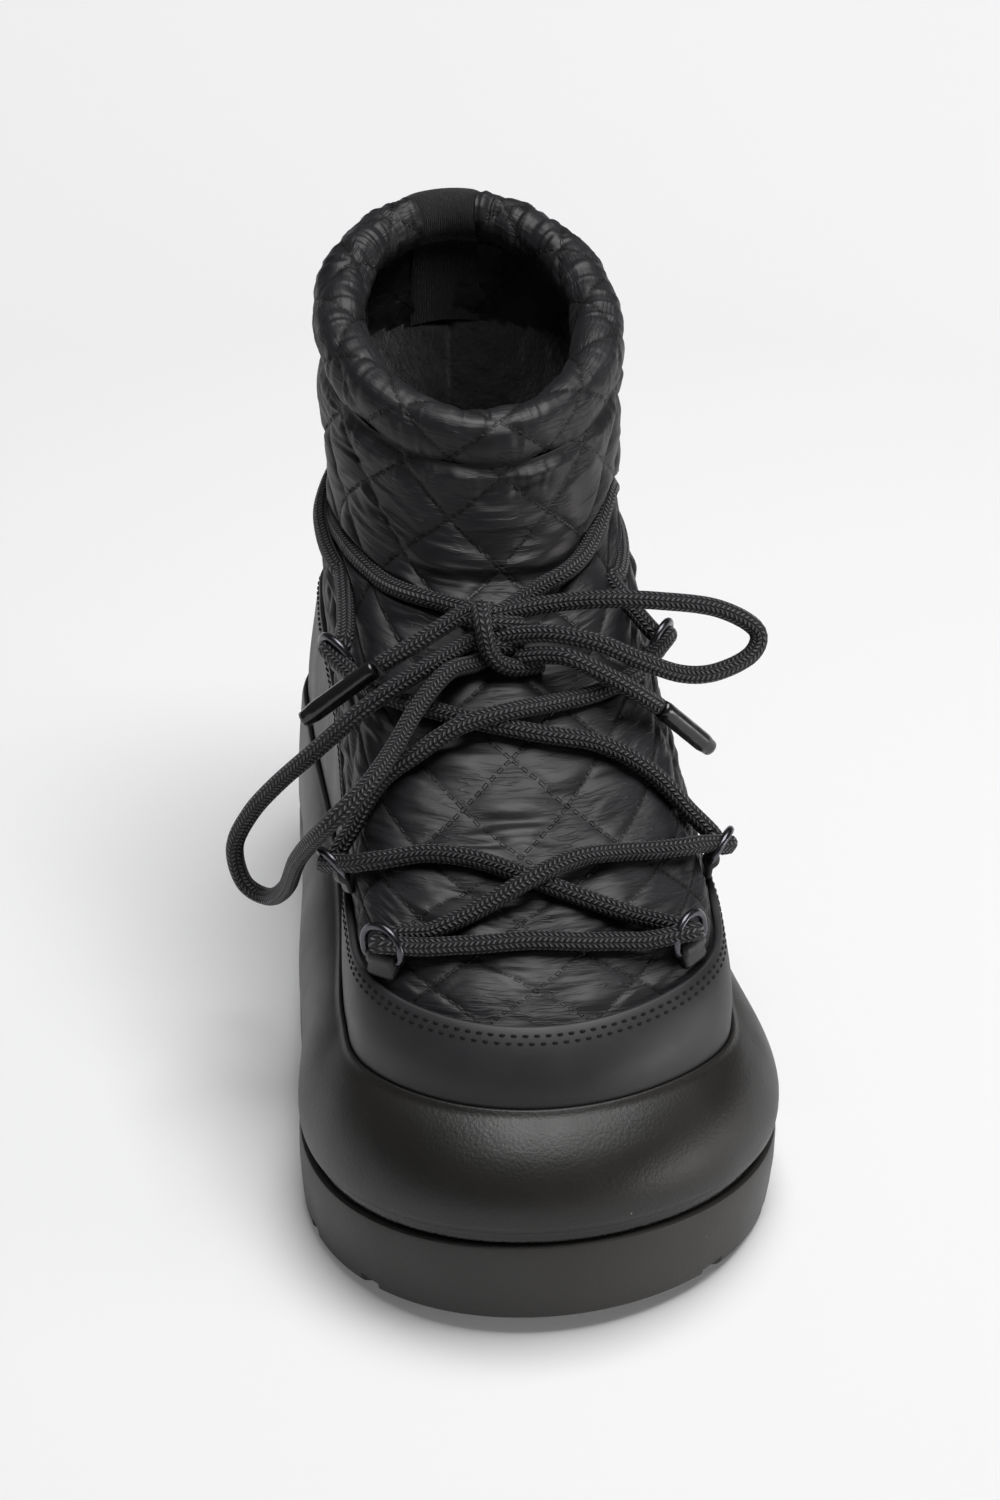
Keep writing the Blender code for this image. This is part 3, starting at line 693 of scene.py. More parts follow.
def quilted_nylon():
    """Thin coated nylon over wadding: a soft sheen on the puffs, fine crinkles, dark sunk stitches and
    painted shade beside the quilting lines.
    """
    made = new_material("quilted_nylon", "#18171a", 0.46, Specular_IOR_Level=0.4, Sheen_Weight=0.03)
    cloth = add_node(made, "UVMap", uv_map="surface")
    lines = []
    for sign in (1, -1):
        slope = (1 / DIAMOND_WIDTH, sign / DIAMOND_HEIGHT, 0)
        lines.append(add_node(made, "VectorMath", (cloth, slope), 1, operation="DOT_PRODUCT"))
    # Each quilting line: dashes of black thread on it, and a band of painted shade beside it
    stitches, shades = [], []
    for line, crossing in (lines, lines[::-1]):
        off_line = add_node(made, "Math", (line, 0.5), operation="PINGPONG")
        shades.append(add_node(made, "MapRange", (off_line, 0.0, 0.065, 1.0, 0.0)))
        on_line = add_node(made, "MapRange", (off_line, 0.014, 0.026, 1.0, 0.0))
        dash = add_node(made, "Math", (crossing, STITCHES_A_SIDE), operation="MULTIPLY")
        dash = add_node(made, "Math", (dash, 0.5), operation="PINGPONG")
        dash = add_node(made, "MapRange", (dash, 0.26, 0.32, 1.0, 0.0))
        stitches.append(add_node(made, "Math", (on_line, dash), operation="MULTIPLY"))
    stitch = add_node(made, "Math", stitches, operation="MAXIMUM")
    shade = add_node(made, "Math", shades, operation="MAXIMUM")

    # Crinkles about 20 by 3 mm and sharp folds about 13 by 2 mm, stronger in some patches of 17 mm
    patches = add_node(made, "TexNoise", {"Vector": cloth, "Scale": 1 / (16.667 * MM), "Detail": 1.0})
    size = (1 / (20 * MM), 1 / (3.3333 * MM), 1)
    crinkle = add_node(made, "Mapping", {"Vector": cloth, "Scale": size})
    crinkle = add_node(made, "TexNoise", {"Vector": crinkle, "Scale": 1.0, "Detail": 3.0})
    crinkled = add_node(made, "MapRange", (patches, 0.35, 0.65, 0.4, 1.0))
    crinkle = add_node(made, "Math", (crinkle, crinkled), operation="MULTIPLY")
    size = (1 / (13.333 * MM), 1 / (2.381 * MM), 1)
    fold = add_node(made, "Mapping", {"Vector": cloth, "Scale": size})
    fold = add_node(made, "TexNoise", {"Vector": fold, "Scale": 1.0})
    fold = add_node(made, "Math", (fold, 0.5), operation="SUBTRACT")
    fold = add_node(made, "Math", (fold,), operation="ABSOLUTE")
    fold = add_node(made, "MapRange", (fold, 0.0, 0.05, 1.0, 0.0))
    folded = add_node(made, "MapRange", (patches, 0.42, 0.58, 0.1, 1.0))
    fold = add_node(made, "Math", (fold, folded), operation="MULTIPLY")
    relief = add_node(made, "Bump", {"Height": fold, "Distance": -0.14 * MM, "Strength": 0.6})
    inputs = {"Height": crinkle, "Distance": 1.0 * MM, "Strength": 0.65, "Normal": relief}
    relief = add_node(made, "Bump", inputs)
    inputs = {"Height": stitch, "Distance": -0.7 * MM, "Strength": 1.0, "Normal": relief}

    # Painted shade: the colour darkens towards the quilting lines, standing in for the shadow in their sunk
    # valleys
    painted_line_shade = add_node(made, "Math", (shade, 0.9), operation="MULTIPLY")
    patch_tone_less_shade = add_node(made, "MapRange", (patches, 0.3, 0.7, 0.6, 1.0))
    patch_tone_less_shade = add_node(made, "Math", (patch_tone_less_shade, painted_line_shade), operation="SUBTRACT")
    tone = add_node(made, "Mix", {0: patch_tone_less_shade, 6: "#060607", 7: "#1a191d"}, 2, data_type="RGBA")
    connect(
        made,
        Base_Color=add_node(made, "Mix", {0: stitch, 6: tone, 7: "#030303"}, 2, data_type="RGBA"),
        Roughness=add_node(made, "MapRange", (patches, 0.3, 0.7, 0.44, 0.54)),
        Normal=add_node(made, "Bump", inputs),
    )
    return made


def coated_leather():
    """Smooth coated leather of the rand and tabs: a low even gloss over a very fine grain."""
    made = new_material("coated_leather", "#29292b", 0.46, Specular_IOR_Level=0.5)
    at = add_node(made, "TexCoord", output="Object")
    # Grain of 0.7 mm, which is coarser than the real one so that it shows, over waves of 17 mm
    inputs = {"Vector": at, "Scale": 1 / (0.66667 * MM)}
    grain = add_node(made, "TexVoronoi", inputs, feature="DISTANCE_TO_EDGE")
    waves = add_node(made, "TexNoise", {"Vector": at, "Scale": 1 / (16.667 * MM)})
    grained = add_node(made, "Bump", {"Height": grain, "Distance": 0.06 * MM, "Strength": 0.35})
    inputs = {"Height": waves, "Distance": 0.5 * MM, "Strength": 0.25, "Normal": grained}
    connect(
        made,
        Base_Color=add_node(made, "Mix", {0: waves, 6: "#262628", 7: "#2f2f31"}, 2, data_type="RGBA"),
        Roughness=add_node(made, "MapRange", (waves, 0.3, 0.7, 0.44, 0.54)),
        Normal=add_node(made, "Bump", inputs),
    )
    return made


def pebbled_foam(name, low, high, rough_low, rough_high):
    """Moulded foam or rubber with a pebbled satin skin and a few pale specks of dust."""
    made = new_material(name, low, 0.5, Specular_IOR_Level=0.45)
    at = add_node(made, "TexCoord", output="Object")
    # Pebbles of 0.9 mm, clouds of 22 mm, and specks of dust about 13 mm apart
    pebbles = add_node(made, "TexNoise", {"Vector": at, "Scale": 1 / (0.90909 * MM)})
    cloud = add_node(made, "TexNoise", {"Vector": at, "Scale": 1 / (22.222 * MM), "Detail": 3.0})
    speck = add_node(made, "TexVoronoi", {"Vector": at, "Scale": 1 / (13.33333 * MM)})
    speck = add_node(made, "MapRange", (speck, 0.016, 0.024, 1.0, 0.0))
    tone = add_node(made, "Mix", {0: cloud, 6: low, 7: high}, 2, data_type="RGBA")
    connect(
        made,
        Base_Color=add_node(made, "Mix", {0: speck, 6: tone, 7: "#8b8884"}, 2, data_type="RGBA"),
        Roughness=add_node(made, "MapRange", (cloud, 0.3, 0.7, rough_low, rough_high)),
        Normal=add_node(made, "Bump", {"Height": pebbles, "Distance": 0.16 * MM, "Strength": 0.6}),
    )
    return made


def fleece(name, colour):
    """Short dense pile: matte, with small tufts that swallow the light."""
    made = new_material(name, colour, 0.95, Specular_IOR_Level=0.15, Sheen_Weight=0.35, Sheen_Roughness=0.6)
    at = add_node(made, "TexCoord", output="Object")
    # Tufts of 1.4 mm on lumps of 6 mm
    inputs = {"Vector": at, "Scale": 1 / (1.42857 * MM), "Detail": 3.0, "Roughness": 0.65}
    tufts = add_node(made, "TexNoise", inputs)
    lumps = add_node(made, "TexNoise", {"Vector": at, "Scale": 1 / (6.25 * MM)})
    lumpy = add_node(made, "Bump", {"Height": lumps, "Distance": 1.2 * MM, "Strength": 0.5})
    inputs = {"Height": tufts, "Distance": 0.9 * MM, "Strength": 0.8, "Normal": lumpy}
    connect(
        made,
        Base_Color=add_node(made, "Mix", {0: lumps, 6: colour, 7: "#212122"}, 2, data_type="RGBA"),
        Normal=add_node(made, "Bump", inputs),
    )
    return made


def braided_cord():
    """Round braid: rows of slanted yarns that mirror each other, with pale painted highlights on the crowns
    of the yarns and near-black between them as painted shade in the valleys.
    """
    made = new_material("braided_cord", "#19191a", 0.55, Specular_IOR_Level=0.42, Sheen_Weight=0.05)
    cord = add_node(made, "UVMap", uv_map="surface")
    # Rows of yarn counted round the cord, and yarns counted along it
    inputs = (cord, (BRAID_ROWS, 0, 0))
    rows = add_node(made, "VectorMath", inputs, 1, operation="DOT_PRODUCT")
    inputs = (cord, (0, 1 / BRAID_PITCH, 0))
    ahead = add_node(made, "VectorMath", inputs, 1, operation="DOT_PRODUCT")
    slant = add_node(made, "Math", (rows, 1.0), operation="PINGPONG")
    slant = add_node(made, "Math", (slant, 0.75, ahead), operation="MULTIPLY_ADD")
    yarn = add_node(made, "Math", (slant, 0.5), operation="PINGPONG")
    yarn = add_node(made, "Math", (yarn, 2.0), operation="MULTIPLY")
    ridge = add_node(made, "Math", (rows, 0.5), operation="PINGPONG")
    ridge = add_node(made, "MapRange", (ridge, 0.03, 0.25, 0.0, 1.0))
    crown = add_node(made, "Math", (yarn, ridge), operation="MULTIPLY")
    crown_highlight = add_node(made, "MapRange", (crown, 0.5, 0.95, 0.0, 1.0))
    # Painted highlight on the crowns of the yarns, near-black painted shade between them
    connect(
        made,
        Base_Color=add_node(made, "Mix", {0: crown_highlight, 6: "#050506", 7: "#74747a"}, 2, data_type="RGBA"),
        Normal=add_node(made, "Bump", {"Height": crown, "Distance": 0.7 * MM, "Strength": 1.0}),
    )
    return made


def ribbed_strip():
    """Matte knit with fine ribs, for the strip at the back of the collar."""
    made = new_material("ribbed_strip", "#161617", 0.9, Specular_IOR_Level=0.2, Sheen_Weight=0.25)
    cloth = add_node(made, "UVMap", uv_map="surface")
    # Ribs 1.1 mm apart, of yarns about 0.7 by 1.4 mm
    rib = add_node(made, "VectorMath", (cloth, (1 / (1.1 * MM), 0, 0)), 1, operation="DOT_PRODUCT")
    rib = add_node(made, "Math", (rib, 0.5), operation="PINGPONG")
    size = (1 / (0.66667 * MM), 1 / (1.42857 * MM), 1)
    yarn = add_node(made, "Mapping", {"Vector": cloth, "Scale": size})
    yarn = add_node(made, "TexNoise", {"Vector": yarn, "Scale": 1.0})
    ribbed = add_node(made, "Bump", {"Height": rib, "Distance": 0.35 * MM, "Strength": 0.6})
    inputs = {"Height": yarn, "Distance": 0.5 * MM, "Strength": 0.8, "Normal": ribbed}
    connect(
        made,
        Base_Color=add_node(made, "Mix", {0: yarn, 6: "#111112", 7: "#242425"}, 2, data_type="RGBA"),
        Normal=add_node(made, "Bump", inputs),
    )
    return made


def gunmetal():
    """Dark plated wire, smudged where it is handled."""
    made = new_material("gunmetal", "#55555a", 0.26, Metallic=1.0)
    at = add_node(made, "TexCoord", output="Object")
    smudge = add_node(made, "TexNoise", {"Vector": at, "Scale": 1 / (2 * MM)})
    connect(made, Roughness=add_node(made, "MapRange", (smudge, 0.3, 0.7, 0.20, 0.36)))
    return made


def glossy_plastic():
    """The aglets' black sleeve: smooth and glossy, with a slight ripple from shrinking on the lace."""
    made = new_material("glossy_plastic", "#131314", 0.25, Specular_IOR_Level=0.5, Coat_Weight=0.3)
    at = add_node(made, "TexCoord", output="Object")
    ripple = add_node(made, "TexNoise", {"Vector": at, "Scale": 1 / (3.84615 * MM), "Detail": 1.0})
    connect(made, Normal=add_node(made, "Bump", {"Height": ripple, "Distance": 0.5 * MM, "Strength": 0.3}))
    return made


def black_thread():
    """Sewing thread: dull black with a twist too fine to see."""
    made = new_material("black_thread", "#0d0d0e", 0.75, Specular_IOR_Level=0.3)
    at = add_node(made, "TexCoord", output="Object")
    # A twist of 0.25 mm, which only dulls the thread
    twist = add_node(made, "TexNoise", {"Vector": at, "Scale": 1 / (0.25 * MM), "Detail": 1.0})
    connect(made, Normal=add_node(made, "Bump", {"Height": twist, "Distance": 0.1 * MM, "Strength": 0.5}))
    return made


def floor_paper():
    """Pale seamless paper that glows as painted light, more strongly far from the boot."""
    made = new_material("floor_paper", "#f1f1f2", 0.9, Specular_IOR_Level=0.1, Emission_Color="#fdfdfe")
    at = add_node(made, "TexCoord", output="Object")
    away = add_node(made, "VectorMath", (at,), 1, operation="LENGTH")
    # A tooth of 2.5 mm, which is coarser than the real one so that it shows
    tooth = add_node(made, "TexNoise", {"Vector": at, "Scale": 1 / (2.5 * MM)})
    # Painted light: the floor glows, its emission rising from 0.1 within 0.5 m of the boot to 0.75 beyond 2.2
    # m
    connect(
        made,
        Emission_Strength=add_node(made, "MapRange", (away, 0.5, 2.2, 0.1, 0.75)),
        Normal=add_node(made, "Bump", {"Height": tooth, "Distance": 0.05 * MM, "Strength": 0.3}),
    )
    return made


# Lace


def smooth_line(points, step):
    """Points about this far apart on a smooth curve through the given ones."""
    rows = [(i, *point) for i, point in enumerate(points)]
    return spaced(table(rows, np.linspace(0, len(points) - 1, 40 * (len(points) - 1) + 1)).T, step)


def bow_points(rows):
    """Points of the bow in the boot's frame, in metres."""
    return np.array([(x * MM, SOLE_LENGTH / 2 - y * MM, z * MM) for x, y, z in rows])


def strand_points(strand, sink=STRAND_SINK):
    """Points about 5 mm apart on a strand, pressed this far into the quilting away from the front."""
    rows = [(i, *row) for i, row in enumerate(strand)]
    turn, share, out = table(rows, np.linspace(0, len(rows) - 1, 30 * (len(rows) - 1) + 1))
    off_front = np.abs(turn % 360 - 180)
    return spaced(upper_at(np.radians(turn), share, out * MM - sink * ease((off_front - 20) / 30)), 5 * MM)


def ring_frames():
    """For each ring: where its tab's root is, and the directions along it, off the surface and across it."""
    frames = {}
    for name, root_turn, root_share, aim_turn, aim_share in RINGS:
        for side, sign in (("outer", 1), ("inner", -1)):
            turn = math.radians(root_turn * sign % 360)
            root, off = upper_at(turn, root_share), upper_normal(turn, root_share)
            aim = upper_at(math.radians(aim_turn * sign % 360), aim_share) - root
            along = unit(aim - off * (aim @ off))
            frames[name + "_" + side] = (root, along, off, np.cross(along, off))
    return frames


def tube(name, line, radius, material, sides=16, swell=None, capped=True):
    """A round tube along a line, with its length and its turn as UV."""
    ahead = unit(np.gradient(line, axis=0))
    side = np.zeros_like(line)
    guess = np.array(Vector(ahead[0]).orthogonal())
    for i, direction in enumerate(ahead):
        guess = guess - direction * (guess @ direction)
        guess = guess / np.linalg.norm(guess)
        side[i] = guess
    other = np.cross(ahead, side)
    angles = round_turns(sides)
    radii = np.full(len(line), radius) if swell is None else radius * swell
    rings = line[:, None] + radii[:, None, None] * (
        side[:, None] * np.cos(angles)[None, :, None] + other[:, None] * np.sin(angles)[None, :, None]
    )
    u = np.linspace(0, 1, sides + 1)
    uv = np.stack(np.broadcast_arrays(u, lengths_along(line)[:, None]), -1)
    if capped:
        ends = [line[:1, None].repeat(sides, 1), line[-1:, None].repeat(sides, 1)]
        inset = [rings[:1] * 0.35 + ends[0] * 0.65, rings[-1:] * 0.35 + ends[1] * 0.65]
        rings = np.concatenate([ends[0] * 0.999 + rings[:1] * 0.001, inset[0], rings, inset[1], ends[1]])
        uv = np.concatenate([uv[:1], uv[:1], uv, uv[-1:], uv[-1:]])
    return grid_mesh(name, rings, material, uv)


def ring_hang(frame):
    """The middle of the fold that holds a ring's wire, and the direction that the ring is pulled in."""
    root, along, off, _ = frame
    centre = root + along * TAB_REACH + off * (0.5 * MM + TAB_FOLD)
    return centre, along * math.cos(RING_TILT) + off * math.sin(RING_TILT)


def bight(frame):
    """The lace's turn through a ring that stands between its strands: toe side, hole, heel side."""
    root, along, off, _ = frame
    centre, pull = ring_hang(frame)
    plane = off * math.cos(RING_TILT) - along * math.sin(RING_TILT)
    inward = np.array((-np.sign(root[0] + 4 * MM), 0.1, 0.0))
    inward = unit(inward - off * (inward @ off))
    hole = centre + pull * RING_DEPTH * 0.5 - inward * 0.4 * MM
    reach = LACE_RADIUS + 0.7 * MM
    return [hole + plane * reach + inward * 2.6 * MM, hole, hole - plane * reach * 0.9 + inward * 2.6 * MM]


def lace_route(frames):
    """The one run of lace from the knot through all six rings and back to the knot."""
    knot = bow_points([KNOT_PLACE])[0]
    parts = [
        [knot + np.array((-1.5, 1.5, 1.5)) * MM],
        strand_points(WRAP_OVER, WRAP_SINK)[::-1],
        bight(frames["ankle_inner"])[::-1],
        strand_points(HIGH_UNDER)[::-1],
        bight(frames["vamp_outer"])[::-1],
        strand_points(LOW_OVER)[::-1],
        bight(frames["toe_inner"])[::-1],
        strand_points(FRONT_BAR)[::-1],
        bight(frames["toe_outer"]),
        strand_points(LOW_UNDER),
        bight(frames["vamp_inner"]),
        strand_points(HIGH_OVER),
        bight(frames["ankle_outer"]),
        strand_points(WRAP_UNDER, WRAP_SINK),
        [knot + np.array((1.5, 1.5, 1.5)) * MM],
    ]
    bights = np.concatenate(parts[2:-1:2])
    route = []
    for part in parts:
        for point in part:
            if len(part) == 3 or np.linalg.norm(bights - point, axis=1).min() > BIGHT_ROOM:
                route.append(point)
    return smooth_line(route, CORD_STEP)


def build_lace(braid, plastic, frames):
    """The lace's run over the upper, the knot and the bow's loops and ends, as free cords."""
    lines = [lace_route(frames)]
    run = tube("lace_run", lines[0], LACE_RADIUS, braid)
    solids = ("lace_front_bar", "lace_low_crossing", "lace_high_crossing", "lace_ankle_wraps")
    finish_piece(run, "lace_braid", *solids)
    cords = []
    for name, rows in (
        ("loop_outer", LOOP_OUTER),
        ("loop_inner", LOOP_INNER),
        ("end_outer", END_OUTER),
        ("end_inner", END_INNER),
    ):
        lines.append(smooth_line(bow_points(rows), CORD_STEP))
        cords.append(tube("bow_" + name, lines[-1], LACE_RADIUS, braid))
        finish_piece(cords[-1], "lace_braid", "lace_" + name)
    aglets = []
    for side, rows in (("outer", AGLET_OUTER), ("inner", AGLET_INNER)):
        line = smooth_line(bow_points(rows), 0.8 * MM)
        share = np.linspace(0, 1, len(line))
        swell = 0.96 - 0.16 * ease((share - 0.82) / 0.18) - 0.12 * ease((0.06 - share) / 0.06)
        aglets.append(tube("aglet_sleeve_" + side, line, AGLET_RADIUS, plastic, sides=20, swell=swell))
        finish_piece(aglets[-1], "aglet_plastic", "aglet_" + side)
    build_knot(braid)
    return lines


def build_knot(braid):
    """The bow's knot: the strand that wraps its middle, over the strands that cross under it."""
    for name, rows, node in (
        ("wrap", KNOT_WRAP, ["lace_knot"]),
        ("back", KNOT_BACK, []),
        ("low", KNOT_LOW, []),
    ):
        piece = tube("knot_" + name, smooth_line(bow_points(rows), 1.0 * MM), LACE_RADIUS, braid)
        finish_piece(piece, "lace_braid", *node)


def near_lace(lines, points):
    """The distance from each point to the nearest middle line of lace."""
    every = np.concatenate(lines)
    tree = KDTree(len(every))
    for i, point in enumerate(every):
        tree.insert(point, i)
    tree.balance()
    flat = points.reshape(-1, 3)
    return np.array([tree.find(p)[2] for p in flat]).reshape(points.shape[:-1])


# Upper


def loop_lengths(points):
    """The distance round each row of points from the middle of its front, positive on the outer side."""
    closed = np.concatenate([points, points[:, :1]], axis=1)
    steps = np.linalg.norm(np.diff(closed, axis=1), axis=2)
    lengths = np.concatenate([np.zeros((len(points), 1)), np.cumsum(steps, axis=1)], axis=1)
    return lengths[:, points.shape[1] // 2, None] - lengths


def cloth_lengths(points):
    """The distances round from the front, with a column that closes the loop, and up from the last row."""
    steps = np.linalg.norm(np.diff(points, axis=0), axis=2)
    up = np.concatenate([np.zeros((1, points.shape[1])), np.cumsum(steps, axis=0)])
    return loop_lengths(points), up - up[-1:]


def quilt_place(s, v):
    """A place in the flat quilted cloth, from how far round from the front and up from the seam it lies."""
    rows_down, middle = table(QUILT_ROWS, v / MM)
    return s - middle * MM, rows_down * DIAMOND_HEIGHT


def quilt_uv(s, v):
    """The same as UV, for distances that have one more column than the heights."""
    return np.stack(quilt_place(s, np.concatenate([v, v[:, :1]], axis=1)), -1)


def puffs(s, v):
    """How full the quilting is, from 0 on its lines to 1 in the middle of a diamond."""
    across, down = quilt_place(s, v)
    a, b = across / DIAMOND_WIDTH + down / DIAMOND_HEIGHT, across / DIAMOND_WIDTH - down / DIAMOND_HEIGHT
    return np.abs(np.sin(math.pi * a)) ** PUFF_POWER * np.abs(np.sin(math.pi * b)) ** PUFF_POWER


def wrinkles(s, v):
    """Fine folds that run across the shaft, denser beside the stitches."""
    wander = soft_noise(s / (16 * MM) + 9, v / (22 * MM) + 4, 5) * 1.6
    folds = soft_noise(s / (15 * MM) + 40, v / (3.1 * MM) + wander + 60, 11)
    broad = soft_noise(s / (17 * MM) + 20, v / (5.0 * MM) + wander + 30, 12)
    patch = 0.5 + 0.5 * soft_noise(s / (14 * MM) + 70, v / (12 * MM) + 80, 13)
    ridges = 1 - 2.4 * np.sqrt(folds**2 + 0.01)
    return ridges * patch + broad * 0.9


def crease_depth(turn, share):
    """The listed creases: soft troughs with a low ridge on each side."""
    total = np.zeros(np.broadcast(turn, share).shape)
    row_height = 200 * MM
    for middle, at, half_turn, half_width, depth in CREASES:
        off = (np.degrees(turn) - middle + 180) % 360 - 180
        bow = 0.012 * np.cos(np.radians(off * 2.2)) - 0.012
        d = (share - at - bow) * row_height / (half_width * MM)
        reach = np.clip(1 - (off / half_turn) ** 2, 0, 1)
        total += depth * MM * reach * (0.45 * np.exp(-((np.abs(d) - 2.1) ** 2) * 0.9) - np.exp(-d * d))
    return total


def build_upper(nylon, lines):
    """The quilted shell from under the rand to the collar's seam."""
    columns, rows = 360, 250
    turn = round_turns(columns)
    edge = table(RAND_EDGE, along_at(turn))[0]
    share = np.linspace(edge - 0.05, 1, rows)
    turn = np.broadcast_to(turn, share.shape)
    base = upper_surface(turn, share)
    s, v = cloth_lengths(base)
    full = puffs(s[:, :-1], v)
    on_vamp = ease((-v - 40 * MM) / (40 * MM)) * ease((along_at(turn) - 0.5) / 0.3)
    height = full * PUFF * (1 - VAMP_FLATTER * on_vamp) - 0.5 * MM
    height += PUCKER * wrinkles(s[:, :-1], v) * (0.35 + 0.65 * full)
    height += crease_depth(turn, share)
    pleats = soft_noise(s[:, :-1] / (2.4 * MM) + 5, v / (30 * MM) + 90, 41)
    height += PLEAT * (1 - 2 * np.abs(pleats)) * ease((v + 13 * MM) / (11 * MM))
    off_back = np.minimum(turn, 2 * math.pi - turn) * 50 * MM
    height -= HEEL_VALLEY * np.exp(-((off_back / (1.4 * MM)) ** 2))
    over_rand = ease((share - edge - 0.004) / 0.03)
    under_roll = ease((1 - share) / 0.022)
    height = height * over_rand * under_roll - 0.9 * MM * (1 - under_roll) - 0.35 * MM * (1 - over_rand)
    height = np.minimum(height, near_lace(lines, base) - LACE_RADIUS - 0.25 * MM)
    points = base + upper_normal(turn, share) * height[..., None]
    shell = grid_mesh("quilted_shell", points, nylon, quilt_uv(s, v))
    finish_piece(shell, "upper_quilt", "upper")


def build_lining(nylon, pile):
    """The quilted lining under the collar, and the fleece below its arched seam."""
    columns, rows = 240, 130
    share = 0.03 + 0.97 * np.linspace(0, 1, rows)[:, None] ** 0.7
    turn, share = np.broadcast_arrays(round_turns(columns), share)
    base = upper_surface(turn, share)
    s, v = cloth_lengths(base)
    from_back = np.minimum(turn, 2 * math.pi - turn) / math.pi
    arch = table(ARCH, from_back)[0]
    in_fleece = ease((arch - share) / 0.010)
    full = np.abs(np.sin(s[:, :-1] / (9 * MM) + 0.6)) ** 0.6
    puff = full * 2.2 * MM + 0.5 * MM * wrinkles(v * 1.4, s[:, :-1])
    heel_seam = np.exp(-((from_back * 180 / 1.6) ** 2)) * ease((0.5 - from_back) / 0.1)
    lumps = soft_noise(s[:, :-1] / (4 * MM), v / (4 * MM), 21)
    pile_height = (1.4 + 0.4 * lumps - 1.2 * heel_seam) * MM
    seam = np.exp(-(((share - arch) / 0.008) ** 2)) * 1.6 * MM
    height = puff * (1 - in_fleece) + pile_height * in_fleece - seam * 0.6
    points = base - upper_normal(turn, share) * (UPPER_WALL + height)[..., None]
    lining = grid_mesh("lining", points, nylon, quilt_uv(s * 1.15, v), flip=True)
    lining.data.materials.append(pile)
    lower = (share + 0.006 < arch)[:-1].reshape(-1)
    lining.data.polygons.foreach_set("material_index", lower.astype(np.int32))
    finish_piece(lining, "upper_quilt")


def roll_surface(turn, angle, out):
    """Points this far off the padded roll. The angle goes from its outer side over its top."""
    centre, outwards, up = roll_frame(turn)
    radius = np.asarray(ROLL_RADIUS + out)[..., None]
    return centre + outwards * radius * np.cos(angle)[..., None] + up * radius * np.sin(angle)[..., None]


def strip_cover(turn):
    """1 under the back strip and 0 away from it."""
    off = np.abs((turn - STRIP_MIDDLE + math.pi) % (2 * math.pi) - math.pi)
    return ease((STRIP_TURN - off) / math.radians(3))


def build_roll(nylon):
    """The collar's padded roll: its quilting lines go on from the shaft, with wrinkles across it."""
    columns, sides = 560, 44
    angle = round_turns(sides)[:, None] - math.pi / 2
    turn, angle = np.broadcast_arrays(round_turns(columns), angle)
    ring = upper_surface(turn[:1], np.ones_like(turn[:1]))
    s = np.repeat(loop_lengths(ring), sides, axis=0)
    v = (angle + 0.5 * math.pi) * ROLL_RADIUS * 1.15 + 3 * MM
    full = puffs(s[:, :-1], v)
    across = soft_noise(s[:, :-1] / (2.6 * MM) + 33, angle * 0.8 + 21, 31)
    broad = soft_noise(s[:, :-1] / (7 * MM) + 73, angle * 0.5 + 51, 32)
    patch = 0.5 + 0.5 * soft_noise(s[:, :-1] / (25 * MM) + 12, angle * 0.4 + 2, 33)
    to_back = ease((0.75 - along_at(turn)) / 0.5)
    out = -0.7 * MM + 1.2 * MM * full + (0.22 + 0.6 * to_back * patch) * MM * (1 - 2 * np.abs(across))
    out += 0.3 * MM * broad + 1.9 * MM * np.exp(-(((np.degrees(angle) + 62) / 34) ** 2))
    out += (-1.1 * MM - out) * strip_cover(turn)
    points = roll_surface(turn, angle, out)
    points = np.concatenate([points, points[:1]])
    uv = np.concatenate([quilt_uv(s, v), quilt_uv(s[:1], v[:1] + 2 * math.pi * ROLL_RADIUS * 1.15)])
    roll = grid_mesh("padded_roll", points, nylon, uv)
    weld(roll)
    finish_piece(roll, "collar_quilt", "collar_roll")


def weld(obj):
    """Joins the points that lie on each other."""
    body = bmesh.new()
    body.from_mesh(obj.data)
    bmesh.ops.remove_doubles(body, verts=body.verts, dist=0.00001)
    body.to_mesh(obj.data)
    body.free()


def build_strip(knit):
    """The strip over the back of the roll and down the lining, with its two edges turned under."""
    across, rows = 26, 90
    side = np.linspace(-1, 1, across)
    angles = np.radians(np.linspace(-30, 248, 40))
    lines = []
    for k in side:
        turn = STRIP_MIDDLE + STRIP_TURN * k
        out = 0.45 * STRIP_THICKNESS * (1.0 - 0.9 * abs(k) ** 8) - 0.35 * MM
        route = [upper_at(turn, share, GAP + out) for share in (0.89, 0.94, 0.985)]
        route.extend(roll_surface(np.full(40, turn), angles, GAP + out))
        for share, inward in ((0.985, 3.4), (0.965, 2.3), (0.945, 2.0), (0.926, 1.4)):
            route.append(upper_at(turn, share, -UPPER_WALL - inward * MM - out))
        lines.append(resample(np.array(route), rows))
    width = STRIP_TURN * 48 * MM
    uv = np.stack(np.broadcast_arrays(side * width, np.linspace(0, 75 * MM, rows)[:, None]), -1)
    strip = grid_mesh("ribbed_strip", np.stack(lines, axis=1), knit, uv, closed=False, flip=True)
    finish_piece(strip, "strip_fleece", "back_strip")


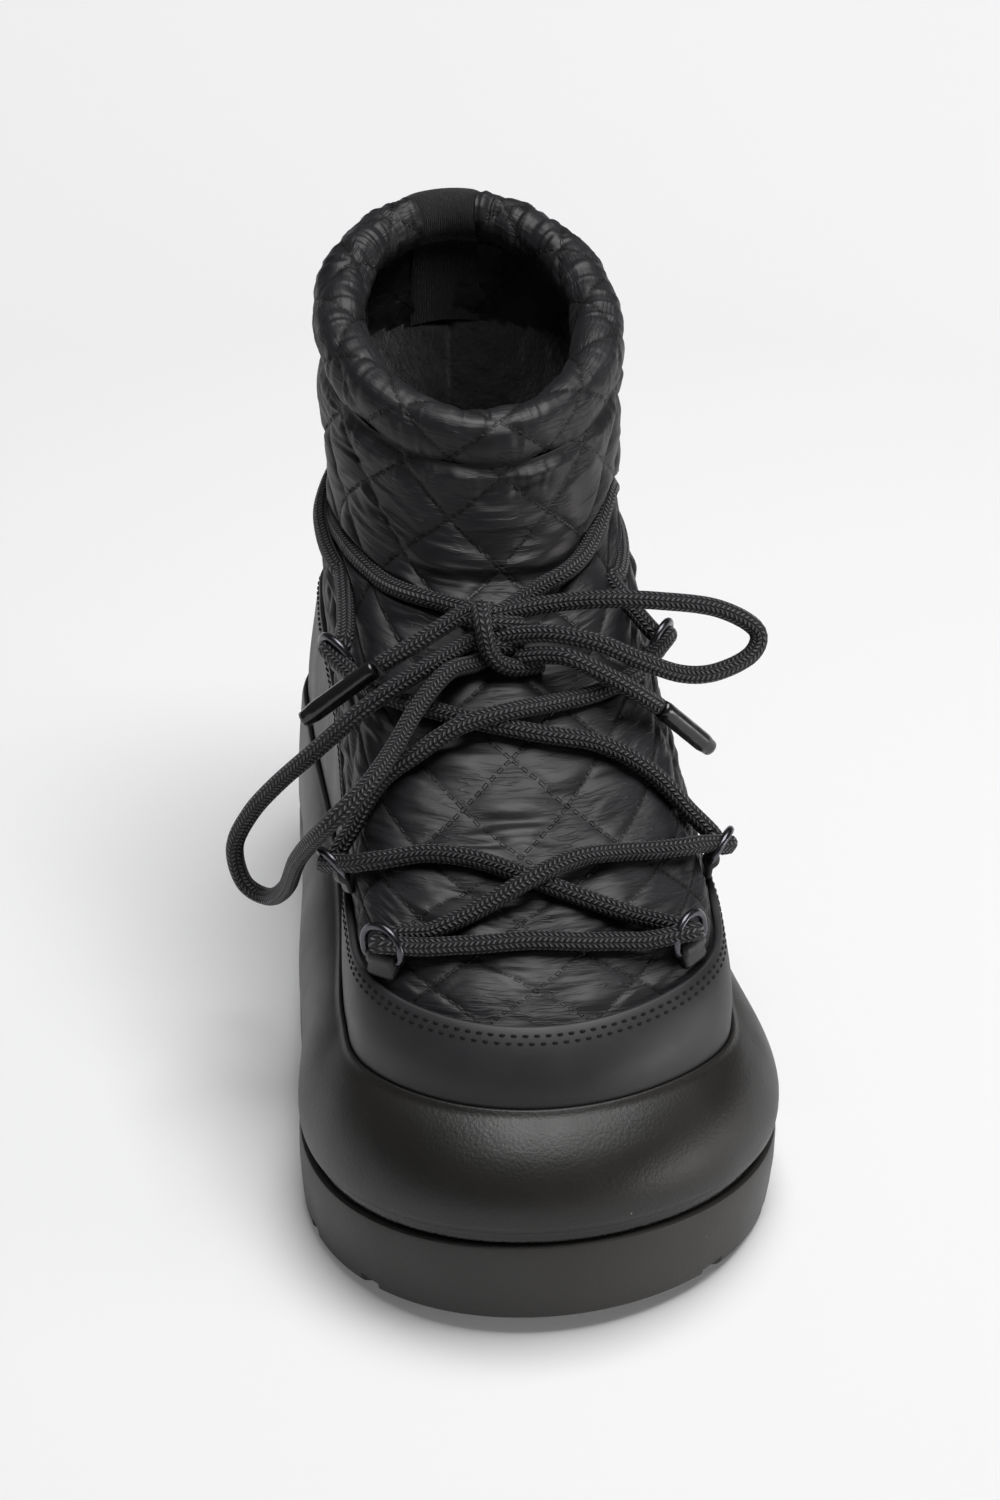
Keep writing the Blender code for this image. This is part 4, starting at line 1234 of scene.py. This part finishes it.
def build_rand(leather, thread):
    """The rand's leather band with its turned top edge, and two rows of stitches under it."""
    turn = round_turns(360)
    edge = table(RAND_EDGE, along_at(turn))[0]
    low = lip_share(turn) - 0.05
    full = RAND_GAP + RAND_WALL
    rows = []
    for k in np.linspace(0, 1, 26):
        rows.append((low + (edge - low) * k, full + 0.25 * MM * math.sin(math.pi * k)))
    for rise, out in RAND_TURN:
        rows.append((edge + rise, full * out))
    band = grid_mesh("rand_band", np.stack([upper_at(turn, share, out) for share, out in rows]), leather)
    finish_piece(band, "coated_leather", "rand")
    fine = round_turns(2400)
    rows = [(fine, table(RAND_EDGE, along_at(fine))[0] - down) for down in STITCH_ROWS]
    add_stitches("rand_stitches", rows, full + 0.12 * MM, thread)


def add_stitches(name, rows, out, thread):
    """Short sunk stitches along closed lines this far off the upper."""
    verts, faces = [], []
    for turns, shares in rows:
        line, normals = upper_at(turns, shares, out), upper_normal(turns, shares)
        closed = np.concatenate([line, line[:1]])
        lengths = lengths_along(closed)
        count = int(lengths[-1] / STITCH_PITCH)
        starts = lengths[-1] * np.arange(count) / count
        normals = normals[np.minimum(np.searchsorted(lengths, starts), len(line) - 1)]
        ends = points_on(closed, np.minimum(starts + STITCH_LENGTH, lengths[-1]))
        for a, b, off in zip(points_on(closed, starts), ends, normals):
            across = np.cross(off, unit(b - a))
            base = len(verts)
            for share, size in ((0.0, 0.35), (0.2, 0.95), (0.5, 1.1), (0.8, 0.95), (1.0, 0.35)):
                centre = a + (b - a) * share - off * STITCH_RADIUS * (0.9 if size < 0.5 else 0.35)
                for angle in round_turns(6):
                    side = across * math.cos(angle) + off * math.sin(angle)
                    verts.append(centre + side * STITCH_RADIUS * size)
            for ring in range(base, base + 24, 6):
                for q in range(6):
                    n = (q + 1) % 6
                    faces.append((ring + q, ring + n, ring + 6 + n, ring + 6 + q))
            faces.append(tuple(range(base + 5, base - 1, -1)))
            faces.append(tuple(range(base + 24, base + 30)))
    finish_piece(add_object(name, smooth_mesh(name, verts, faces), thread), "coated_leather")


# Sole


def bottom_lift(along):
    """How far the sole's underside is off the floor at the toe spring, the heel bevel and the arch."""
    toe = TOE_SPRING * ease((along - 0.80) / 0.30) / ease(2 / 3)
    heel = HEEL_BEVEL * ease((0.05 - along) / 0.05)
    arch = ARCH_LIFT * ease((along - 0.30) / 0.10) * ease((0.60 - along) / 0.10)
    return toe + heel + arch


def groove_lift(along):
    """How far the side groove rises towards the toe."""
    return GROOVE_LIFT * ease((along - 0.80) / 0.30) / ease(2 / 3)


def sole_loop(turn, inset, height):
    """A loop of the sole's plan, this far inside it."""
    across, forward = plan_places(SOLE_PLAN, turn, inset, SOLE_LENGTH - inset, SOLE_WIDTH / 2 - inset)
    return place(across, forward, height)


def build_midsole(foam, gloss):
    """The cupped platform: groove, flared wall and thin rounded lip against the rand."""
    turn = round_turns(360)
    base = groove_lift(along_at(turn)) + OUTSOLE_TOP + GAP
    cup_out = RAND_GAP + RAND_WALL + GAP
    widest = sole_loop(turn, 0, base + GROOVE_HEIGHT)
    top = lip_share(turn)
    lip = upper_at(turn, top, cup_out + LIP_THICKNESS)
    soft = 0.7 * MM
    groove = 0.72 * GROOVE_DEPTH
    rows = []
    for inset, height in (
        (30 * MM, -GAP),
        (groove + 0.4 * MM, -GAP),
        (groove + 0.1 * MM, 0.1 * MM),
        (groove, 0.5 * MM),
        (groove - 0.1 * MM, GROOVE_HEIGHT * 0.5),
        (groove, GROOVE_HEIGHT - 0.7 * MM),
        (groove - 0.25 * MM, GROOVE_HEIGHT - 0.25 * MM),
        (soft, GROOVE_HEIGHT),
        (soft * 0.3, GROOVE_HEIGHT + soft * 0.3),
    ):
        rows.append(sole_loop(turn, inset, base + height))
    for up in np.linspace(0.035, 0.97, 34):
        inward = table(MIDSOLE_ROWS, up)[0]
        point = widest + (lip - widest) * inward
        point[:, 2] = widest[:, 2] + (lip[:, 2] - widest[:, 2]) * up
        rows.append(point)
    for rise, out in ((0.0, 1.0), (0.007, 0.85), (0.010, 0.5), (0.008, 0.15), (0.0, 0.0), (-0.06, 0.0)):
        rows.append(upper_at(turn, top + rise, cup_out - 0.15 * MM + LIP_THICKNESS * out))
    # The groove's faces take the second material: glossier, and darker as painted shade in the recess
    midsole = grid_mesh("platform", np.stack(rows), foam)
    midsole.data.materials.append(gloss)
    in_groove = np.repeat(np.arange(len(rows) - 1) < 6, len(turn))
    midsole.data.polygons.foreach_set("material_index", in_groove.astype(np.int32))
    finish_piece(midsole, "midsole_foam", "midsole")


def build_outsole(rubber):
    """The lugged outsole with rounded edges and slanted slots across its underside."""
    turn = round_turns(240)
    low, high = bottom_lift(along_at(turn)), groove_lift(along_at(turn)) + OUTSOLE_TOP
    rows = []
    for inset, height in (
        (OUTSOLE_DRAFT + 1.4 * OUTSOLE_EDGE, low),
        (OUTSOLE_DRAFT + 0.6 * OUTSOLE_EDGE, low + 0.12 * OUTSOLE_EDGE),
        (OUTSOLE_DRAFT + 0.12 * OUTSOLE_EDGE, low + 0.6 * OUTSOLE_EDGE),
        (OUTSOLE_DRAFT, low + 1.4 * OUTSOLE_EDGE),
        (OUTSOLE_DRAFT * 0.6, low * 0.6 + high * 0.4 - 2 * MM),
        (OUTSOLE_DRAFT / 4, low * 0.4 + high * 0.6),
        (OUTSOLE_EDGE / 4, high - OUTSOLE_EDGE * 1.5),
        (OUTSOLE_EDGE / 2, high - OUTSOLE_EDGE * 0.5),
        (OUTSOLE_EDGE, high - OUTSOLE_EDGE * 0.1),
        (OUTSOLE_EDGE * 1.6, high),
    ):
        rows.append(sole_loop(turn, inset, height))
    body = bmesh.new()
    loops = [[body.verts.new(p) for p in row] for row in rows]
    count = len(turn)
    for a, b in zip(loops, loops[1:]):
        for i in range(count):
            k = (i + 1) % count
            body.faces.new((a[i], a[k], b[k], b[i]))
    for loop, facing_up in ((loops[0], False), (loops[-1], True)):
        for i in range(count // 2):
            corners = list(dict.fromkeys([loop[i], loop[i + 1], loop[-i - 1], loop[-i % count]]))
            body.faces.new(corners if facing_up else corners[::-1])
    bmesh.ops.recalc_face_normals(body, faces=body.faces)
    data = bpy.data.meshes.new("lugged_outsole")
    body.to_mesh(data)
    body.free()
    outsole = add_object("lugged_outsole", data, rubber)
    cut_slots(outsole)
    finish_piece(outsole, "outsole_rubber", "outsole")


def cut_slots(outsole):
    """Cuts the slanted slots between the lugs of the underside."""
    count = int(SOLE_LENGTH / LUG_PITCH)
    cutters = bmesh.new()
    for i in range(1, count):
        forward = i * SOLE_LENGTH / count
        depth = float(bottom_lift(forward / SOLE_LENGTH)) + LUG_DEPTH
        for side in (-1, 1):
            box = bmesh.ops.create_cube(cutters, size=1)["verts"]
            bmesh.ops.scale(cutters, vec=(SOLE_WIDTH, LUG_SLOT, 2 * depth), verts=box)
            slant = Matrix.Rotation(side * math.atan2(LUG_SLANT, SOLE_WIDTH / 2), 4, "Z")
            shift = Matrix.Translation(place(MIDDLE + side * 0.56 * SOLE_WIDTH, forward, 0.0))
            bmesh.ops.transform(cutters, matrix=shift @ slant, verts=box)
    data = bpy.data.meshes.new("slot_cutters")
    cutters.to_mesh(data)
    cutters.free()
    cutter = add_object("slot_cutters", data)
    cut = outsole.modifiers.new("slots", "BOOLEAN")
    cut.operation = "DIFFERENCE"
    cut.solver = "EXACT"
    cut.object = cutter
    graph = bpy.context.evaluated_depsgraph_get()
    result = bpy.data.meshes.new_from_object(outsole.evaluated_get(graph))
    outsole.modifiers.clear()
    outsole.data = result
    bpy.data.objects.remove(cutter)
    result.shade_smooth()
    result.set_sharp_from_angle(angle=math.radians(35))


def build_insole(pile):
    """The fleece footbed, a little hollow at the heel and full under the arch."""
    turn = round_turns(120)
    edge = upper_at(turn, 0.03, -UPPER_WALL - 1.2 * MM)
    skirt = edge.copy()
    skirt[:, 2] = edge[:, 2].min()
    rows = [skirt]
    for k in np.linspace(1, 0, 24):
        ring = edge.copy()
        ring[:, 0] = edge[:, 0] * k + edge[:, 0].mean() * (1 - k)
        ring[:, 1] = edge[:, 1] * (0.35 + 0.65 * k)
        ring[:, 2] = edge[:, 2] + INSOLE_THICKNESS * 0.8 - 1.5 * MM * (1 - k * k)
        rows.append(ring)
    finish_piece(grid_mesh("footbed", np.stack(rows), pile), "insole_fleece", "insole")


# Rings and tabs


def build_rings(metal, leather, frames):
    """Plated wire rings in folded leather tabs."""
    half, corner = RING_HALF_WIDTH, 1.6 * MM
    path = [(0, w) for w in np.linspace(corner - half, half - corner, 7)]
    path += [(corner * 0.3, half - corner * 0.3), (corner, half)]
    for angle in np.linspace(math.pi / 2, -math.pi / 2, 25):
        path.append((RING_DEPTH - half + half * math.cos(angle), half * math.sin(angle)))
    path += [(corner, -half), (corner * 0.3, corner * 0.3 - half), path[0]]
    profile = []
    for angle in np.linspace(-0.62 * math.pi, 0.80 * math.pi, 20):
        profile.append((TAB_FOLD * math.cos(angle), TAB_FOLD * math.sin(angle)))
    profile += [(-TAB_REACH * 0.6, -0.1 * MM), (-TAB_REACH, -0.9 * MM), (-TAB_REACH * 1.1, -1.5 * MM)]
    profile += [(-TAB_REACH * 1.1, -TAB_FOLD), (-TAB_REACH * 0.5, -TAB_FOLD)]
    for name, frame in frames.items():
        _, along, off, across = frame
        centre, pull = ring_hang(frame)
        line = np.array([centre + pull * u + across * w for u, w in path])
        ring = tube("d_ring_" + name, line, WIRE_RADIUS, metal, sides=14, capped=False)
        finish_piece(ring, "ring_metal", "ring_" + name)
        rows = []
        for k in np.linspace(-1, 1, 9):
            pinch = 1 - 0.10 * abs(k) ** 6
            middle = centre + across * k * TAB_WIDTH / 2
            rows.append([middle + (along * u + off * v) * pinch for u, v in profile])
        ends = [[np.mean(rows[k], axis=0)] * len(profile) for k in (0, -1)]
        tab = grid_mesh("ring_tab_" + name, np.array([ends[0], *rows, ends[1]]), leather)
        finish_piece(tab, "coated_leather", "tab_" + name)


# Stage, light and camera


def build_stage(paper):
    """The floor of pale paper."""
    corners = [(-FLOOR_REACH, -FLOOR_REACH, 0), (FLOOR_REACH, -FLOOR_REACH, 0)]
    corners += [(FLOOR_REACH, FLOOR_REACH, 0), (-FLOOR_REACH, FLOOR_REACH, 0)]
    data = bpy.data.meshes.new("floor")
    data.from_pydata(corners, [], [(0, 1, 2, 3)])
    add_object("floor", data, paper)


def build_light():
    """A pale world that is dim on the boot, and three soft lamps."""
    world = bpy.data.worlds.new("studio")
    world.use_nodes = True
    background = world.node_tree.nodes["Background"]
    seen = add_node(world, "LightPath", output="Is Camera Ray")
    strength = add_node(world, "MapRange", (seen, 0, 1, WORLD_ON_BOOT, WORLD_BEHIND))
    world.node_tree.links.new(strength, background.inputs["Strength"])
    background.inputs["Color"].default_value = to_linear("#fdfdfe")
    bpy.context.scene.world = world
    bpy.context.scene.view_settings.view_transform = "Standard"
    for name, at, size, watts, aim, colour in LAMPS:
        data = bpy.data.lights.new(name, "AREA")
        data.shape = "RECTANGLE"
        data.size, data.size_y = size
        data.energy = watts
        data.color = to_linear(colour)[:3]
        lamp = add_object(name, data)
        lamp.location = at
        lamp.rotation_euler = (Vector(aim) - Vector(at)).to_track_quat("-Z", "Y").to_euler()


def build_camera():
    """The photograph's camera, turned from its own view to aim at this boot."""
    data = bpy.data.cameras.new("photo_camera")
    data.lens = CAMERA_LENS
    data.sensor_width = CAMERA_SENSOR
    view = (CAMERA_AIM - CAMERA_PLACE).normalized()
    right = PHOTO_VIEW.rotation_difference(view) @ PHOTO_RIGHT
    turned = Matrix((right, right.cross(view), -view)).transposed().to_4x4()
    camera = add_object("photo_camera", data)
    camera.matrix_world = Matrix.Translation(CAMERA_PLACE) @ turned
    bpy.context.scene.camera = camera


build_camera()
nylon = quilted_nylon()
leather = coated_leather()
frames = ring_frames()
lace_lines = build_lace(braided_cord(), glossy_plastic(), frames)
build_upper(nylon, lace_lines)
build_lining(nylon, fleece("heel_fleece", "#141415"))
build_roll(nylon)
build_strip(ribbed_strip())
build_rand(leather, black_thread())
build_midsole(
    pebbled_foam("platform_foam", "#1a1918", "#22201e", 0.40, 0.50),
    # The groove's foam: glossier, and darker as painted shade in the recessed groove
    pebbled_foam("groove_foam_painted_shade", "#0b0b0b", "#111110", 0.16, 0.26),
)
build_outsole(pebbled_foam("outsole_rubber", "#2b2a28", "#343230", 0.44, 0.56))
build_insole(fleece("footbed_fleece", "#141415"))
build_rings(gunmetal(), leather, frames)
build_stage(floor_paper())
build_light()
